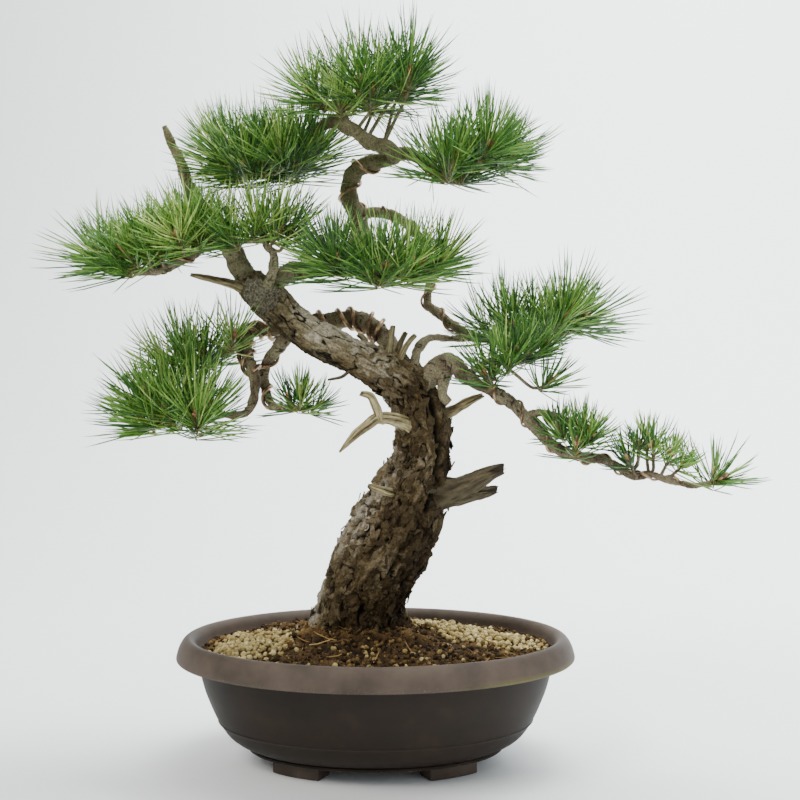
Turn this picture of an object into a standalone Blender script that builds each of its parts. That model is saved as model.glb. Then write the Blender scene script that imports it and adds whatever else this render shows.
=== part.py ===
"""A pine bonsai in its oval training pot, modelled in metres with +Z up.

The front of the tree faces -Y. The origin is the middle of the whole plant's footprint
box, on the surface that the pot's feet stand on. Every sub-part is one closed solid.
Touching solids keep a small gap, because the mesh coordinates are 32-bit numbers.
"""

import math

import bmesh
import bpy
from mathutils import Vector

MM = 0.001

# ---- Overall sizes -----------------------------------------------------------------------
POT_LENGTH = 0.394          # over the lip of the rim, along X
POT_DEPTH = 0.314           # over the lip of the rim, along Y
POT_HEIGHT = 0.1245         # feet to the top of the rim
TREE_HEIGHT = 0.540         # soil at the trunk to the tip of the highest shoot
POT_CENTRE_X = -0.024       # the crown reaches further to the right than to the left

# ---- Pot -----------------------------------------------------------------------------------
POT_WALL = 0.0040
FOOT_HEIGHT = 0.0125
FOOT_WIDTH = 0.022          # radially, from its outer face inwards
FOOT_FROM, FOOT_TO = 35.0, 64.0   # degrees round the oval, from its long axis
FOOT_SET_IN = 0.006         # from the edge of the base ring
BASE_RING_HEIGHT = 0.0040
BASE_INSET = 0.0710         # base ring to lip, in plan
RIM_HEIGHT = 0.0220
RIM_OVERHANG = 0.0215       # lip to the body under it, in plan
BEAD_HEIGHT = 0.0420        # the fine raised line on the body
BEAD_SIZE = 0.0008
DRAIN_RADIUS = 0.0100
DRAIN_SPACING = 0.110
POT_SIDES = 40

# ---- Soil, grit and drainage mesh ---------------------------------------------------------
SOIL_DEPTH_BELOW_RIM = 0.0145
SOIL_EDGE_INSET = 0.0227    # top edge of the soil to the lip, in plan
MOUND_RISE = 0.0210         # soil at the trunk above the soil at the wall
MOUND_RADIUS = 0.105
GRIT_THICKNESS = 0.0050
GRIT_EDGE = 0.0018
MESH_SIZE = 0.034
MESH_THICKNESS = 0.0012

# ---- Tree ----------------------------------------------------------------------------------
TREE_X, TREE_Y = -0.016, 0.034    # foot of the trunk from the pot's centre
DRAWN_HEIGHT = 0.540        # the tree height at which the routes below are given
LIMB_GIRTH = 1.0            # thickness of all wood, as a factor on the radii below
WIRE_PITCH = 0.034
COARSE_WIRE = 0.0045        # diameters
MEDIUM_WIRE = 0.0035
FINE_WIRE = 0.0025

# ---- Clearances ----------------------------------------------------------------------------
GAP = 0.0003                # between touching solids
SOIL_GAP = 0.0005           # soil to the pot's wall
WIRE_GAP = 0.0006           # wire to bark
PAD_GAP = 0.0010            # foliage to foliage

TREE_SCALE = TREE_HEIGHT / DRAWN_HEIGHT

# Routes of the wood: x, y, z and radius in millimetres, from the foot of the trunk.
TRUNK = (
    (-3, 2, -19, 46), (0, 0, 0, 43.5), (3, -4, 28, 40.5), (15, -9, 59, 42.5), (32, -15, 91, 42.5),
    (44, -19, 114, 40), (53, -23, 142, 33), (61, -26, 167, 26), (63, -29, 192, 26),
    (58, -32, 217, 25), (45, -34, 239, 23.5), (26, -36, 254, 21), (2, -37, 265, 18.5),
    (-22, -36, 276, 17.5), (-48, -33, 290, 17), (-70, -29, 305, 17), (-88, -25, 322, 18),
    (-103, -21, 336, 17), (-112, -18, 347, 14),
)

LIMBS = {
    # Living wood
    "leader": ("trunk", (
        (-109, -19, 340, 11), (-121, -14, 360, 10.5), (-132, -11, 380, 9), (-150, -9, 405, 7.5),
        (-160, -9, 421, 6.5), (-173, -10, 441, 5.5), (-181, -13, 466, 5), (-190, -16, 484, 4),
        (-197, -19, 501, 2))),
    "crown_stem": ("trunk", (
        (-93, -18, 332, 9.5), (-81, 0, 351, 9), (-64, 16, 360, 9), (-44, 26, 362, 8.5),
        (-25, 30, 371, 8.5), (-10, 28, 384, 8.5), (-2, 23, 400, 8.5), (-4, 18, 417, 8.5),
        (-11, 13, 431, 8.5), (-12, 9, 446, 8), (-5, 4, 460, 8), (9, -4, 466, 8),
        (25, -12, 468, 7.5), (38, -20, 472, 6))),
    "crown_top_branch": ("crown_stem", (
        (36, -19, 471, 6), (28, -34, 476, 7), (14, -42, 479, 7), (-2, -48, 488, 6.5),
        (-13, -50, 496, 5.5), (-18, -48, 507, 4.5), (-21, -44, 521, 3.5), (-18, -42, 538, 2.5))),
    "crown_left_branch": ("crown_top_branch", (
        (-9, -48, 492, 5), (-22, -38, 501, 5.5), (-36, -22, 501, 5), (-49, -12, 491, 4),
        (-62, -8, 480, 3.5), (-84, -6, 464, 2.5))),
    "crown_right_branch": ("crown_stem", (
        (28, -12, 470, 6), (45, -12, 475, 6), (58, -18, 469, 5), (73, -28, 457, 4.5),
        (87, -36, 445, 4), (101, -41, 443, 3.5), (114, -44, 450, 3), (128, -46, 461, 2))),
    "arching_branch": ("crown_stem", (
        (-3, 19, 416, 5), (13, 14, 419, 5), (35, 8, 414, 4.5), (51, 8, 403, 4.5),
        (64, 10, 388, 4), (73, 12, 367, 4), (71, 12, 346, 4), (68, 8, 326, 4), (80, 2, 314, 4.5),
        (96, -6, 300, 4.5), (114, -16, 291, 4), (134, -26, 287, 3.5), (151, -34, 288, 3))),
    "centre_branch": ("crown_stem", (
        (-22, 28, 371, 5.5), (-10, 4, 362, 5.5), (4, -22, 352, 5), (15, -50, 344, 4),
        (23, -70, 347, 3.5), (26, -80, 356, 2.5))),
    "centre_left_branch": ("trunk", (
        (-96, -24, 333, 5), (-85, -40, 356, 4.5), (-84, -48, 369, 3.5), (-90, -58, 377, 3.5),
        (-94, -64, 386, 2.5))),
    "upper_left_branch": ("leader", (
        (-126, -12, 370, 7.5), (-134, -26, 381, 7), (-150, -38, 380, 5.5), (-166, -48, 369, 5),
        (-187, -52, 356, 4.5), (-211, -52, 352, 3.5), (-231, -50, 358, 3), (-251, -48, 368, 2.5))),
    "back_branch": ("trunk", (
        (44, -30, 254, 9), (32, -14, 279, 8.5), (15, 0, 299, 9), (-5, 10, 309, 8),
        (-22, 14, 308, 8), (-41, 18, 307, 7.5), (-60, 22, 307, 7), (-77, 24, 303, 6.5),
        (-91, 22, 298, 6.5), (-106, 16, 298, 6), (-117, 8, 290, 6), (-117, -2, 276, 5.5),
        (-111, -14, 261, 5.5), (-105, -24, 247, 5), (-105, -28, 231, 4), (-112, -32, 215, 3.5),
        (-125, -40, 211, 3), (-143, -48, 214, 2.5), (-170, -54, 219, 2))),
    "left_back_twig": ("back_branch", (
        (-114, 6, 290, 3), (-126, 8, 283, 3), (-142, 8, 274, 2.5), (-162, 8, 272, 2))),
    "inner_left_branch": ("trunk", (
        (-66, -28, 300, 6.5), (-81, -10, 281, 6), (-92, 0, 270, 5.5), (-98, 6, 257, 5),
        (-99, 6, 243, 4.5), (-94, -4, 227, 4), (-85, -16, 219, 3.5), (-70, -28, 217, 3),
        (-56, -36, 219, 2.5), (-43, -42, 218, 2))),
    "right_branch": ("trunk", (
        (54, -32, 233, 11.5), (73, -40, 254, 10.5), (86, -46, 263, 9), (95, -52, 259, 8),
        (104, -58, 250, 7), (115, -62, 242, 6), (132, -67, 234, 6), (153, -72, 218, 5.5),
        (178, -76, 191, 5), (193, -78, 179, 5), (214, -80, 172, 4.5), (232, -82, 170, 4),
        (247, -84, 163, 4), (264, -86, 154, 3.5), (279, -88, 156, 3), (294, -90, 151, 3),
        (314, -92, 146, 2.5), (334, -94, 148, 2))),
    "right_lower_twig": ("right_branch", (
        (106, -60, 249, 3.5), (112, -72, 256, 3), (120, -82, 262, 2.5), (130, -90, 266, 2))),
    "cascade_branchlet": ("right_branch", (
        (160, -73, 210, 3.5), (173, -80, 214, 3), (188, -86, 212, 2.5), (208, -92, 204, 2.5),
        (226, -94, 196, 2))),
    "dark_branch": ("trunk", (
        (53, -41, 249, 5), (56, -41, 272, 4.5), (63, -37, 283, 4), (73, -34, 288, 3.5),
        (91, -34, 287, 3), (110, -40, 288, 2.5))),
    "hooked_stub": ("right_branch", (
        (86, -46, 259, 5), (83, -47, 243, 5), (82, -47, 230, 4.5), (88, -48, 223, 3.5))),
    # Dead wood, stripped of its bark
    "forked_jin": ("trunk", (
        (51, -44, 200, 6), (40, -60, 206, 5), (28, -70, 209, 4.5), (18, -76, 209, 4),
        (9, -80, 203, 3.5), (-2, -84, 194, 3), (-17, -88, 178, 1))),
    "upper_right_jin": ("trunk", (
        (77, -30, 210, 5.5), (91, -36, 215, 5), (107, -38, 224, 4), (122, -36, 231, 2))),
    "split_jin": ("trunk", (
        (68, -26, 129, 15), (89, -28, 133, 14), (105, -32, 139, 10), (123, -36, 150, 7),
        (142, -38, 159, 2.5))),
    "lower_left_jin": ("trunk", (
        (42, -38, 131, 4.5), (26, -56, 137, 3.5), (19, -62, 140, 3), (11, -65, 143, 2))),
    "left_spike": ("trunk", (
        (-112, -24, 336, 5), (-129, -32, 342, 4), (-152, -37, 347, 3), (-167, -39, 350, 1.5))),
    "rear_stub": ("trunk", ((27, -42, 263, 4), (31, -46, 286, 3), (33, -48, 299, 2.5))),
    "middle_stub": ("trunk", ((34, -37, 262, 3), (41, -40, 283, 2.5), (46, -41, 293, 2))),
    "front_stub": ("trunk", ((37, -46, 259, 3), (46, -52, 279, 2.5), (55, -53, 290, 2))),
    "thin_twig": ("trunk", ((-8, -42, 257, 2), (-17, -54, 249, 1.5), (-30, -58, 246, 1))),
    "knot": ("trunk", ((8, -34, 270, 4), (4, -32, 286, 3), (-2, -30, 291, 2))),
}

# The second prong of a forked piece of dead wood, which grows out of the first.
PRONGS = {
    "forked_jin": ((21, -75, 208, 3.5), (18, -80, 218, 3), (12, -82, 230, 2.5), (3, -84, 233, 1.5)),
    "split_jin": ((100, -28, 133, 8), (122, -24, 134, 4.5), (136, -22, 136, 2)),
}
DEAD_WOOD = ("forked_jin", "upper_right_jin", "split_jin", "lower_left_jin", "left_spike",
             "rear_stub", "middle_stub", "front_stub", "thin_twig", "knot")

# Training wire: the limb it is wound on, where it starts and ends (shares of the limb's length),
# its diameter, and the turn it starts at in degrees.
WIRES = {
    "wire_back_1": ("back_branch", 0.13, 0.72, COARSE_WIRE, 150),
    "wire_back_2": ("back_branch", 0.15, 0.70, COARSE_WIRE, 90),
    "wire_inner_left": ("inner_left_branch", 0.22, 0.80, MEDIUM_WIRE, 90),
    "wire_crown_stem": ("crown_stem", 0.16, 0.90, MEDIUM_WIRE, 200),
    "wire_crown_right": ("crown_right_branch", 0.22, 0.52, FINE_WIRE, 0),
    "wire_arching": ("arching_branch", 0.10, 0.80, FINE_WIRE, 40),
    "wire_upper_left": ("upper_left_branch", 0.24, 0.50, FINE_WIRE, 120),
    "wire_right": ("right_branch", 0.26, 0.92, FINE_WIRE, 0),
}

# Foliage: middle of each pad, then its half length, half depth, height and drop, in millimetres.
FOLIAGE = {
    "upper_left": ((-224, -50, 368), (80, 68, 62, 26)),
    "crown_left": ((-90, -6, 474), (66, 76, 64, 34)),
    "crown_top": ((6, -42, 532), (88, 80, 72, 20)),
    "crown_right": ((128, -42, 458), (72, 70, 66, 24)),
    "centre": ((24, -82, 354), (84, 60, 68, 26)),
    "centre_left": ((-88, -66, 380), (42, 40, 42, 26)),
    "right_upper": ((186, -26, 298), (104, 76, 62, 28)),
    "right_lower": ((132, -92, 268), (48, 42, 30, 18)),
    "cascade_inner": ((208, -86, 182), (44, 46, 44, 22)),
    "cascade_middle": ((280, -90, 170), (46, 46, 44, 30)),
    "cascade_tip": ((344, -96, 154), (40, 42, 38, 20)),
    "lower_left_front": ((-196, -54, 220), (70, 66, 46, 26)),
    "lower_left_back": ((-172, 6, 266), (48, 50, 54, 20)),
    "lower_inner": ((-54, -40, 224), (30, 26, 28, 18)),
}


# ---- Helpers ---------------------------------------------------------------------------------
def clear_scene():
    """Start from nothing, whatever the file held."""
    for old in list(bpy.data.objects):
        bpy.data.objects.remove(old, do_unlink=True)


def make_material(name, colour, roughness):
    """One plain surface, given by its linear colour."""
    made = bpy.data.materials.new(name)
    made.use_nodes = True
    shader = made.node_tree.nodes["Principled BSDF"]
    shader.inputs["Base Color"].default_value = (*colour, 1.0)
    shader.inputs["Roughness"].default_value = roughness
    made.diffuse_color = (*colour, 1.0)
    return made


def make_empty(name, place, parent=None):
    """A point that other objects are parented to."""
    empty = bpy.data.objects.new(name, None)
    empty.location = place
    empty.parent = parent
    bpy.context.collection.objects.link(empty)
    return empty


def make_object(name, mesh, parent, material=None):
    """An object from a mesh, smooth where its faces meet gently."""
    made = bpy.data.objects.new(name, mesh)
    made.parent = parent
    bpy.context.collection.objects.link(made)
    if material:
        made.data.materials.append(material)
    made.data.shade_smooth()
    made.data.set_sharp_from_angle(angle=math.radians(40))
    return made


def mark_as_cutter(made):
    """A cutter is only a guide for the shapes that it cuts."""
    made.hide_render = True
    made.display_type = "WIRE"
    return made


def add_boolean(made, other, operation="DIFFERENCE"):
    """Cut or join one object with another."""
    cut = made.modifiers.new(operation.lower() + "_" + other.name, "BOOLEAN")
    cut.operation = operation
    cut.solver = "EXACT"
    cut.object = other


def skin(name, rings):
    """A closed mesh over rings of points, each ring with the same number, ends capped flat."""
    work = bmesh.new()
    loops = [[work.verts.new(point) for point in ring] for ring in rings]
    count = len(loops[0])
    for low, high in zip(loops, loops[1:]):
        for i in range(count):
            j = (i + 1) % count
            work.faces.new((low[i], low[j], high[j], high[i]))
    work.faces.new(list(reversed(loops[0])))
    work.faces.new(loops[-1])
    bmesh.ops.recalc_face_normals(work, faces=work.faces)
    bmesh.ops.triangulate(work, faces=work.faces)
    mesh = bpy.data.meshes.new(name)
    work.to_mesh(mesh)
    work.free()
    return mesh


# ---- Pot, soil and what lies in it -------------------------------------------------------
# The body's outer wall, from the base ring up: share of the height, share of the inward sweep.
BOWL = ((0.0, 1.0), (0.04, 0.82), (0.13, 0.60), (0.30, 0.395), (0.45, 0.275), (0.64, 0.141),
        (0.80, 0.060), (1.0, 0.0))


def oval(inset, height):
    """A ring of the pot: the lip's oval set in by one distance all round."""
    half_length, half_depth = POT_LENGTH / 2 - inset, POT_DEPTH / 2 - inset
    turns = [2 * math.pi * i / POT_SIDES for i in range(POT_SIDES)]
    return [(half_length * math.cos(t), half_depth * math.sin(t), height) for t in turns]


def bowl_points():
    """Outer wall as (inset, height) pairs, from the base ring to the underside of the rim."""
    low, high = FOOT_HEIGHT + BASE_RING_HEIGHT, POT_HEIGHT - RIM_HEIGHT
    sweep_in = BASE_INSET - RIM_OVERHANG
    return [(RIM_OVERHANG + sweep_in * inward, low + (high - low) * up) for up, inward in BOWL]


def inset_at(height):
    """Inset of the outer wall at one height, read off straight lines between its points."""
    points = bowl_points()
    for (inset_a, low), (inset_b, high) in zip(points, points[1:]):
        if low <= height <= high:
            return inset_a + (inset_b - inset_a) * (height - low) / (high - low)
    return points[-1][0]


def floor_height():
    """Top of the pot's floor."""
    return FOOT_HEIGHT + BASE_RING_HEIGHT + POT_WALL * 0.5


def inner_points(clearance=0.0):
    """Inner wall from the floor up to the rim, as (inset, height) pairs."""
    side = POT_WALL + clearance
    floor = floor_height() + clearance
    points = [(BASE_INSET + side, floor)]
    for inset, height in bowl_points()[1:]:
        points.append((inset + side, max(height + POT_WALL * 0.6, floor + 0.001)))
    points[-1] = (RIM_OVERHANG + side, POT_HEIGHT - RIM_HEIGHT)
    return points


def build_pot(parent, material):
    """One moulding: base ring, bowl with a fine raised line, rolled rim, four feet, two drains."""
    outer = bowl_points()
    profile = [(BASE_INSET + 0.004, FOOT_HEIGHT), (BASE_INSET, FOOT_HEIGHT + 0.001),
               (BASE_INSET - 0.0005, FOOT_HEIGHT + BASE_RING_HEIGHT - 0.001)]
    below = [p for p in outer if p[1] < BEAD_HEIGHT - 2 * BEAD_SIZE]
    above = [p for p in outer if p[1] > BEAD_HEIGHT + 2 * BEAD_SIZE]
    bead = [(inset_at(BEAD_HEIGHT + rise * BEAD_SIZE) - out * BEAD_SIZE, BEAD_HEIGHT + rise * BEAD_SIZE)
            for rise, out in ((-1, 0), (0, 1), (1, 0))]
    profile += below + bead + above
    lip = POT_HEIGHT - RIM_HEIGHT
    # The rim's face rises steeply from the lip, rolls over and slopes down to the inner wall.
    rim = ((0.0015, 0.00), (0.0, 0.10), (0.0012, 0.36), (0.0036, 0.62), (0.0070, 0.87),
           (0.0120, 1.00), (0.0168, 0.90), (0.0190, 0.74), (0.0205, 0.50), (0.0225, 0.28))
    profile += [(inset, lip + share * RIM_HEIGHT) for inset, share in rim]
    profile += list(reversed(inner_points()))
    pot = make_object("pot", skin("pot", [oval(*point) for point in profile]), parent, material)

    for number in range(4):
        foot = mark_as_cutter(make_object(f"foot_shape_{number}", foot_mesh(number), parent))
        add_boolean(pot, foot, "UNION")
    for side in (-1, 1):
        bpy.ops.mesh.primitive_cylinder_add(
            vertices=16, radius=DRAIN_RADIUS, depth=POT_HEIGHT / 2,
            location=(side * DRAIN_SPACING / 2, 0, POT_HEIGHT / 4 - 0.001))
        drain = bpy.context.object
        drain.name = f"drain_cutter_{'left' if side < 0 else 'right'}"
        drain.parent = parent
        add_boolean(pot, mark_as_cutter(drain))
    return pot


def foot_mesh(number):
    """A foot: a short length of a ring that runs just inside the base ring."""
    side, front = (-1 if number % 2 else 1), (-1 if number < 2 else 1)
    half_length = POT_LENGTH / 2 - BASE_INSET - FOOT_SET_IN
    half_depth = POT_DEPTH / 2 - BASE_INSET - FOOT_SET_IN
    steps = 4
    rings = []
    for i in range(steps + 1):
        turn = math.radians(FOOT_FROM + (FOOT_TO - FOOT_FROM) * i / steps)
        along, across = math.cos(turn), math.sin(turn)
        outer = (side * half_length * along, front * half_depth * across)
        inner = (side * (half_length - FOOT_WIDTH) * along, front * (half_depth - FOOT_WIDTH) * across)
        top = FOOT_HEIGHT + BASE_RING_HEIGHT * 0.5
        rings.append([(*outer, 0.0), (*inner, 0.0), (*inner, top), (*outer, top)])
    return skin(f"foot_{number}", rings)


def soil_height(x, y):
    """Top of the soil: level at the wall, mounded at the trunk, a little uneven."""
    away = math.hypot(x - TREE_X, y - TREE_Y) / MOUND_RADIUS
    mound = MOUND_RISE * math.exp(-1.6 * away ** 2)
    uneven = 0.0010 * math.sin(55 * x + 1) * math.cos(70 * y)
    return POT_HEIGHT - SOIL_DEPTH_BELOW_RIM + mound + uneven


def soil_mesh(name, raise_by=0.0):
    """Soil that fills the pot's hollow; raise_by lifts only its top, for a cutter."""
    level = POT_HEIGHT - SOIL_DEPTH_BELOW_RIM
    sides = [p for p in inner_points(SOIL_GAP) if p[1] < level - 0.002]
    rings = [oval(*point) for point in sides]
    half_length, half_depth = POT_LENGTH / 2 - SOIL_EDGE_INSET, POT_DEPTH / 2 - SOIL_EDGE_INSET
    for share in (1.0, 0.86, 0.70, 0.52, 0.34, 0.16):
        ring = []
        for i in range(POT_SIDES):
            turn = 2 * math.pi * i / POT_SIDES
            # The rings close in on the foot of the trunk.
            x = TREE_X + (half_length * math.cos(turn) - TREE_X) * share
            y = TREE_Y + (half_depth * math.sin(turn) - TREE_Y) * share
            ring.append((x, y, soil_height(x, y) + raise_by))
        rings.append(ring)
    return skin(name, rings)


def grit_mesh(name, middle, half_sizes, lean):
    """A low lens of grit, whose underside the soil's shape is cut from.

    Its middle and half sizes are shares of the soil's own half sizes, so it follows the pot.
    """
    hollow = (POT_LENGTH / 2 - SOIL_EDGE_INSET, POT_DEPTH / 2 - SOIL_EDGE_INSET)
    segments, shares = 18, (1.0, 0.7, 0.35)
    top = []
    for share in shares:
        over = []
        for i in range(segments):
            turn = 2 * math.pi * i / segments
            ripple = 1 + 0.08 * math.sin(3 * turn + lean) + 0.05 * math.cos(5 * turn)
            along = half_sizes[0] * share * ripple * math.cos(turn)
            across = half_sizes[1] * share * ripple * math.sin(turn)
            x = hollow[0] * (middle[0] + along * math.cos(lean) - across * math.sin(lean))
            y = hollow[1] * (middle[1] + along * math.sin(lean) + across * math.cos(lean))
            rise = GRIT_EDGE + (GRIT_THICKNESS - GRIT_EDGE) * (1 - share ** 2)
            over.append((x, y, soil_height(x, y) + rise))
        top.append(over)
    bottom = [(x, y, soil_height(x, y) - GRIT_THICKNESS) for x, y, _ in top[0]]
    return skin(name, [bottom] + top)


def box_mesh(name, low, high):
    """A plain box between two corners."""
    (x0, y0, z0), (x1, y1, z1) = low, high
    corners = [(x0, y0), (x1, y0), (x1, y1), (x0, y1)]
    return skin(name, [[(x, y, z) for x, y in corners] for z in (z0, z1)])


# ---- Wood and wire -----------------------------------------------------------------------
def to_route(points):
    """Points in millimetres as (place, radius) pairs in metres, at the tree's real size."""
    return [(Vector((x, y, z)) * MM * TREE_SCALE, r * MM * TREE_SCALE * LIMB_GIRTH)
            for x, y, z, r in points]


def finer(route, cuts):
    """The same route on a smooth curve, with cuts steps between neighbouring points."""
    result = []
    last = len(route) - 1
    for i in range(last):
        before, start, end, after = (route[max(i - 1, 0)], route[i], route[i + 1],
                                     route[min(i + 2, last)])
        for k in range(cuts):
            t = k / cuts
            place = 0.5 * (2 * start[0] + (end[0] - before[0]) * t
                           + (2 * before[0] - 5 * start[0] + 4 * end[0] - after[0]) * t ** 2
                           + (3 * start[0] - before[0] - 3 * end[0] + after[0]) * t ** 3)
            result.append((place, start[1] + (end[1] - start[1]) * t))
    result.append(route[-1])
    return result


def frames(route):
    """Each point of a route with two directions across it, turned as little as possible."""
    result, across = [], None
    last = len(route) - 1
    for i, (place, radius) in enumerate(route):
        along = (route[min(i + 1, last)][0] - route[max(i - 1, 0)][0]).normalized()
        if across is None:
            across = along.orthogonal()
        across = (across - along * across.dot(along)).normalized()
        result.append((place, radius, along, across, along.cross(across)))
    return result


def tube(name, route, sides, grow=0.0):
    """A round limb or wire along a route; grow makes a larger one, for cutting clearance."""
    rings = []
    framed = frames(route)
    for i, (place, radius, along, across, other) in enumerate(framed):
        if i == 0:
            place = place - along * grow
        if i == len(framed) - 1:
            place = place + along * grow
        size = radius + grow / math.cos(math.pi / sides)
        turns = [2 * math.pi * k / sides for k in range(sides)]
        rings.append([place + (across * math.cos(t) + other * math.sin(t)) * size for t in turns])
    return skin(name, rings)


def wound(route, start, end, diameter, first_turn):
    """The route of a wire wound round a limb between two shares of its length."""
    fine = frames(finer(route, 12))
    lengths = [0.0]
    for (a, *_), (b, *_) in zip(fine, fine[1:]):
        lengths.append(lengths[-1] + (b - a).length)
    steps_per_turn = 8
    spacing = WIRE_PITCH / steps_per_turn
    steps = max(int((end - start) * lengths[-1] / spacing), 3)
    turned = []
    index = 0
    for k in range(steps + 1):
        reach = start * lengths[-1] + k * spacing
        while index < len(lengths) - 2 and lengths[index + 1] < reach:
            index += 1
        place, radius, _, across, other = fine[index]
        turn = math.radians(first_turn) + 2 * math.pi * k / steps_per_turn
        off = (radius + WIRE_GAP + diameter / 2) / math.cos(math.pi / steps_per_turn)
        turned.append((place + (across * math.cos(turn) + other * math.sin(turn)) * off,
                       diameter / 2))
    return turned


def pad_mesh(name, middle, reach, grow=0.0):
    """A foliage pad: a domed cushion, flatter below, with a gently lumpy outline."""
    half_length, half_depth, rise, drop = (r * MM * TREE_SCALE + grow for r in reach)
    centre = Vector(middle) * MM * TREE_SCALE
    around, levels = 14, 7
    phase = middle[0] * 0.05
    rings = []
    for j in range(1, levels):
        up = -math.cos(math.pi * j / levels)
        out = math.sin(math.pi * j / levels)
        ring = []
        for i in range(around):
            turn = 2 * math.pi * i / around
            lump = 1 + 0.05 * math.sin(3 * turn + phase) + 0.03 * math.cos(5 * turn - phase)
            ring.append(centre + Vector((half_length * out * math.cos(turn) * lump,
                                         half_depth * out * math.sin(turn) * lump,
                                         (rise if up > 0 else drop) * up)))
        rings.append(ring)
    return skin(name, rings)


def box_of(mesh):
    """Lowest and highest corner of a mesh."""
    low = [min(v.co[i] for v in mesh.vertices) for i in range(3)]
    high = [max(v.co[i] for v in mesh.vertices) for i in range(3)]
    return low, high


def boxes_meet(one, two):
    """Whether two boxes share any space."""
    return all(one[0][i] < two[1][i] and two[0][i] < one[1][i] for i in range(3))


# ---- The model ---------------------------------------------------------------------------
def build_holder(pot_centre, trunk_clearance, materials):
    """The pot, its drainage mesh, the soil and the grit that lies on it."""
    build_pot(pot_centre, materials["pot"])
    soil = make_object("soil", soil_mesh("soil"), pot_centre, materials["soil"])
    add_boolean(soil, trunk_clearance)
    floor = floor_height()
    for side, word in ((-1, "left"), (1, "right")):
        half, x = MESH_SIZE / 2, side * DRAIN_SPACING / 2
        low, high = (x - half, -half, floor + GAP), (x + half, half, floor + GAP + MESH_THICKNESS)
        make_object(f"drainage_mesh_{word}", box_mesh("drainage_mesh", low, high), pot_centre,
                    materials["mesh"])
        room = box_mesh("room", [v - GAP for v in low], [v + GAP for v in high])
        add_boolean(soil, mark_as_cutter(make_object(f"mesh_room_{word}", room, pot_centre)))

    under = mark_as_cutter(make_object("soil_clearance", soil_mesh("under", GAP), pot_centre))
    patches = {
        "grit_left": ((-0.70, -0.08), (0.38, 0.20), 1.50),
        "grit_right": ((0.54, 0.36), (0.46, 0.19), -0.785),
    }
    for name, (middle, half_sizes, lean) in patches.items():
        grit = make_object(name, grit_mesh(name, middle, half_sizes, lean), pot_centre,
                           materials["grit"])
        add_boolean(grit, under)
        add_boolean(grit, trunk_clearance)


def build_tree(tree_foot, materials):
    """Trunk, limbs, dead wood, wires and foliage, each cut clear of what it grows from."""
    routes = {"trunk": to_route(TRUNK)}
    sides = {"trunk": 14}
    made = {"trunk": make_object("trunk", tube("trunk", routes["trunk"], 14), tree_foot,
                                 materials["bark"])}
    clearances = {}

    def clearance_of(name):
        if name not in clearances:
            grown = tube(name, routes[name], sides[name], GAP)
            clearances[name] = mark_as_cutter(
                make_object(f"clearance_{name}", grown, tree_foot))
        return clearances[name]

    for name, (parent, points) in LIMBS.items():
        dead = name in DEAD_WOOD
        routes[name] = to_route(points)
        sides[name] = 6 if dead or len(points) < 6 else 8
        mesh = tube(name, routes[name], sides[name])
        made[name] = make_object(name, mesh, tree_foot, materials["dead" if dead else "bark"])
        if name in PRONGS:
            prong = make_object(f"prong_{name}", tube("prong", to_route(PRONGS[name]), 6), tree_foot)
            add_boolean(made[name], mark_as_cutter(prong), "UNION")
        for other in made:
            if other != name and boxes_meet(box_of(mesh), box_of(made[other].data)):
                add_boolean(made[name], clearance_of(other))

    for name, (limb, start, end, diameter, first_turn) in WIRES.items():
        routes[name] = wound(routes[limb], start, end, diameter, first_turn)
        sides[name] = 5
        mesh = tube(name, routes[name], sides[name])
        for other in LIMBS:
            if other != limb and boxes_meet(box_of(mesh), box_of(made[other].data)):
                add_boolean(made[other], clearance_of(name))
        made[name] = make_object(name, mesh, tree_foot, materials["wire"])

    pads = {}
    for name, (middle, reach) in FOLIAGE.items():
        title = f"foliage_{name}"
        pad = make_object(title, pad_mesh(title, middle, reach), tree_foot, materials["needles"])
        room = box_of(pad.data)
        for other, wood in made.items():
            if boxes_meet(room, box_of(wood.data)):
                add_boolean(pad, clearance_of(other))
        for other, earlier in pads.items():
            if boxes_meet(room, box_of(earlier.data)):
                add_boolean(pad, earlier)
        grown = pad_mesh(title + "_grown", middle, reach, PAD_GAP)
        pads[name] = mark_as_cutter(make_object(f"clearance_{title}", grown, tree_foot))
    return clearance_of("trunk")


def main():
    clear_scene()
    materials = {
        "pot": make_material("moulded_plastic", (0.085, 0.062, 0.052), 0.55),
        "soil": make_material("soil", (0.045, 0.028, 0.018), 0.95),
        "grit": make_material("grit", (0.55, 0.47, 0.31), 0.90),
        "mesh": make_material("drainage_mesh", (0.02, 0.02, 0.02), 0.60),
        "bark": make_material("bark", (0.17, 0.12, 0.08), 0.85),
        "dead": make_material("dead_wood", (0.42, 0.33, 0.22), 0.75),
        "wire": make_material("training_wire", (0.16, 0.07, 0.04), 0.40),
        "needles": make_material("needles", (0.07, 0.18, 0.03), 0.55),
    }
    materials["wire"].node_tree.nodes["Principled BSDF"].inputs["Metallic"].default_value = 0.9
    pot_centre = make_empty("pot_centre", (POT_CENTRE_X, 0, 0))
    mound_top = POT_HEIGHT - SOIL_DEPTH_BELOW_RIM + MOUND_RISE
    tree_foot = make_empty("tree_foot", (TREE_X, TREE_Y, mound_top), pot_centre)
    trunk_clearance = build_tree(tree_foot, materials)
    build_holder(pot_centre, trunk_clearance, materials)
    bpy.context.view_layer.update()


main()
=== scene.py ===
# %% [markdown]
# # A pine bonsai in an oval training pot
# The tree is a mature pine: a leaning trunk in thick scaly bark, wired branches that end in
# pads of long paired needles, and a few stubs of bare dead wood. It stands in a wide plastic
# pot with dark crumbly soil and two patches of cream grit.
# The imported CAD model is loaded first. Everything below is built in its coordinates, in metres.

# %% Load the frame
import math

import bpy
import numpy as np
from mathutils import Matrix, Vector, noise


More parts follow.
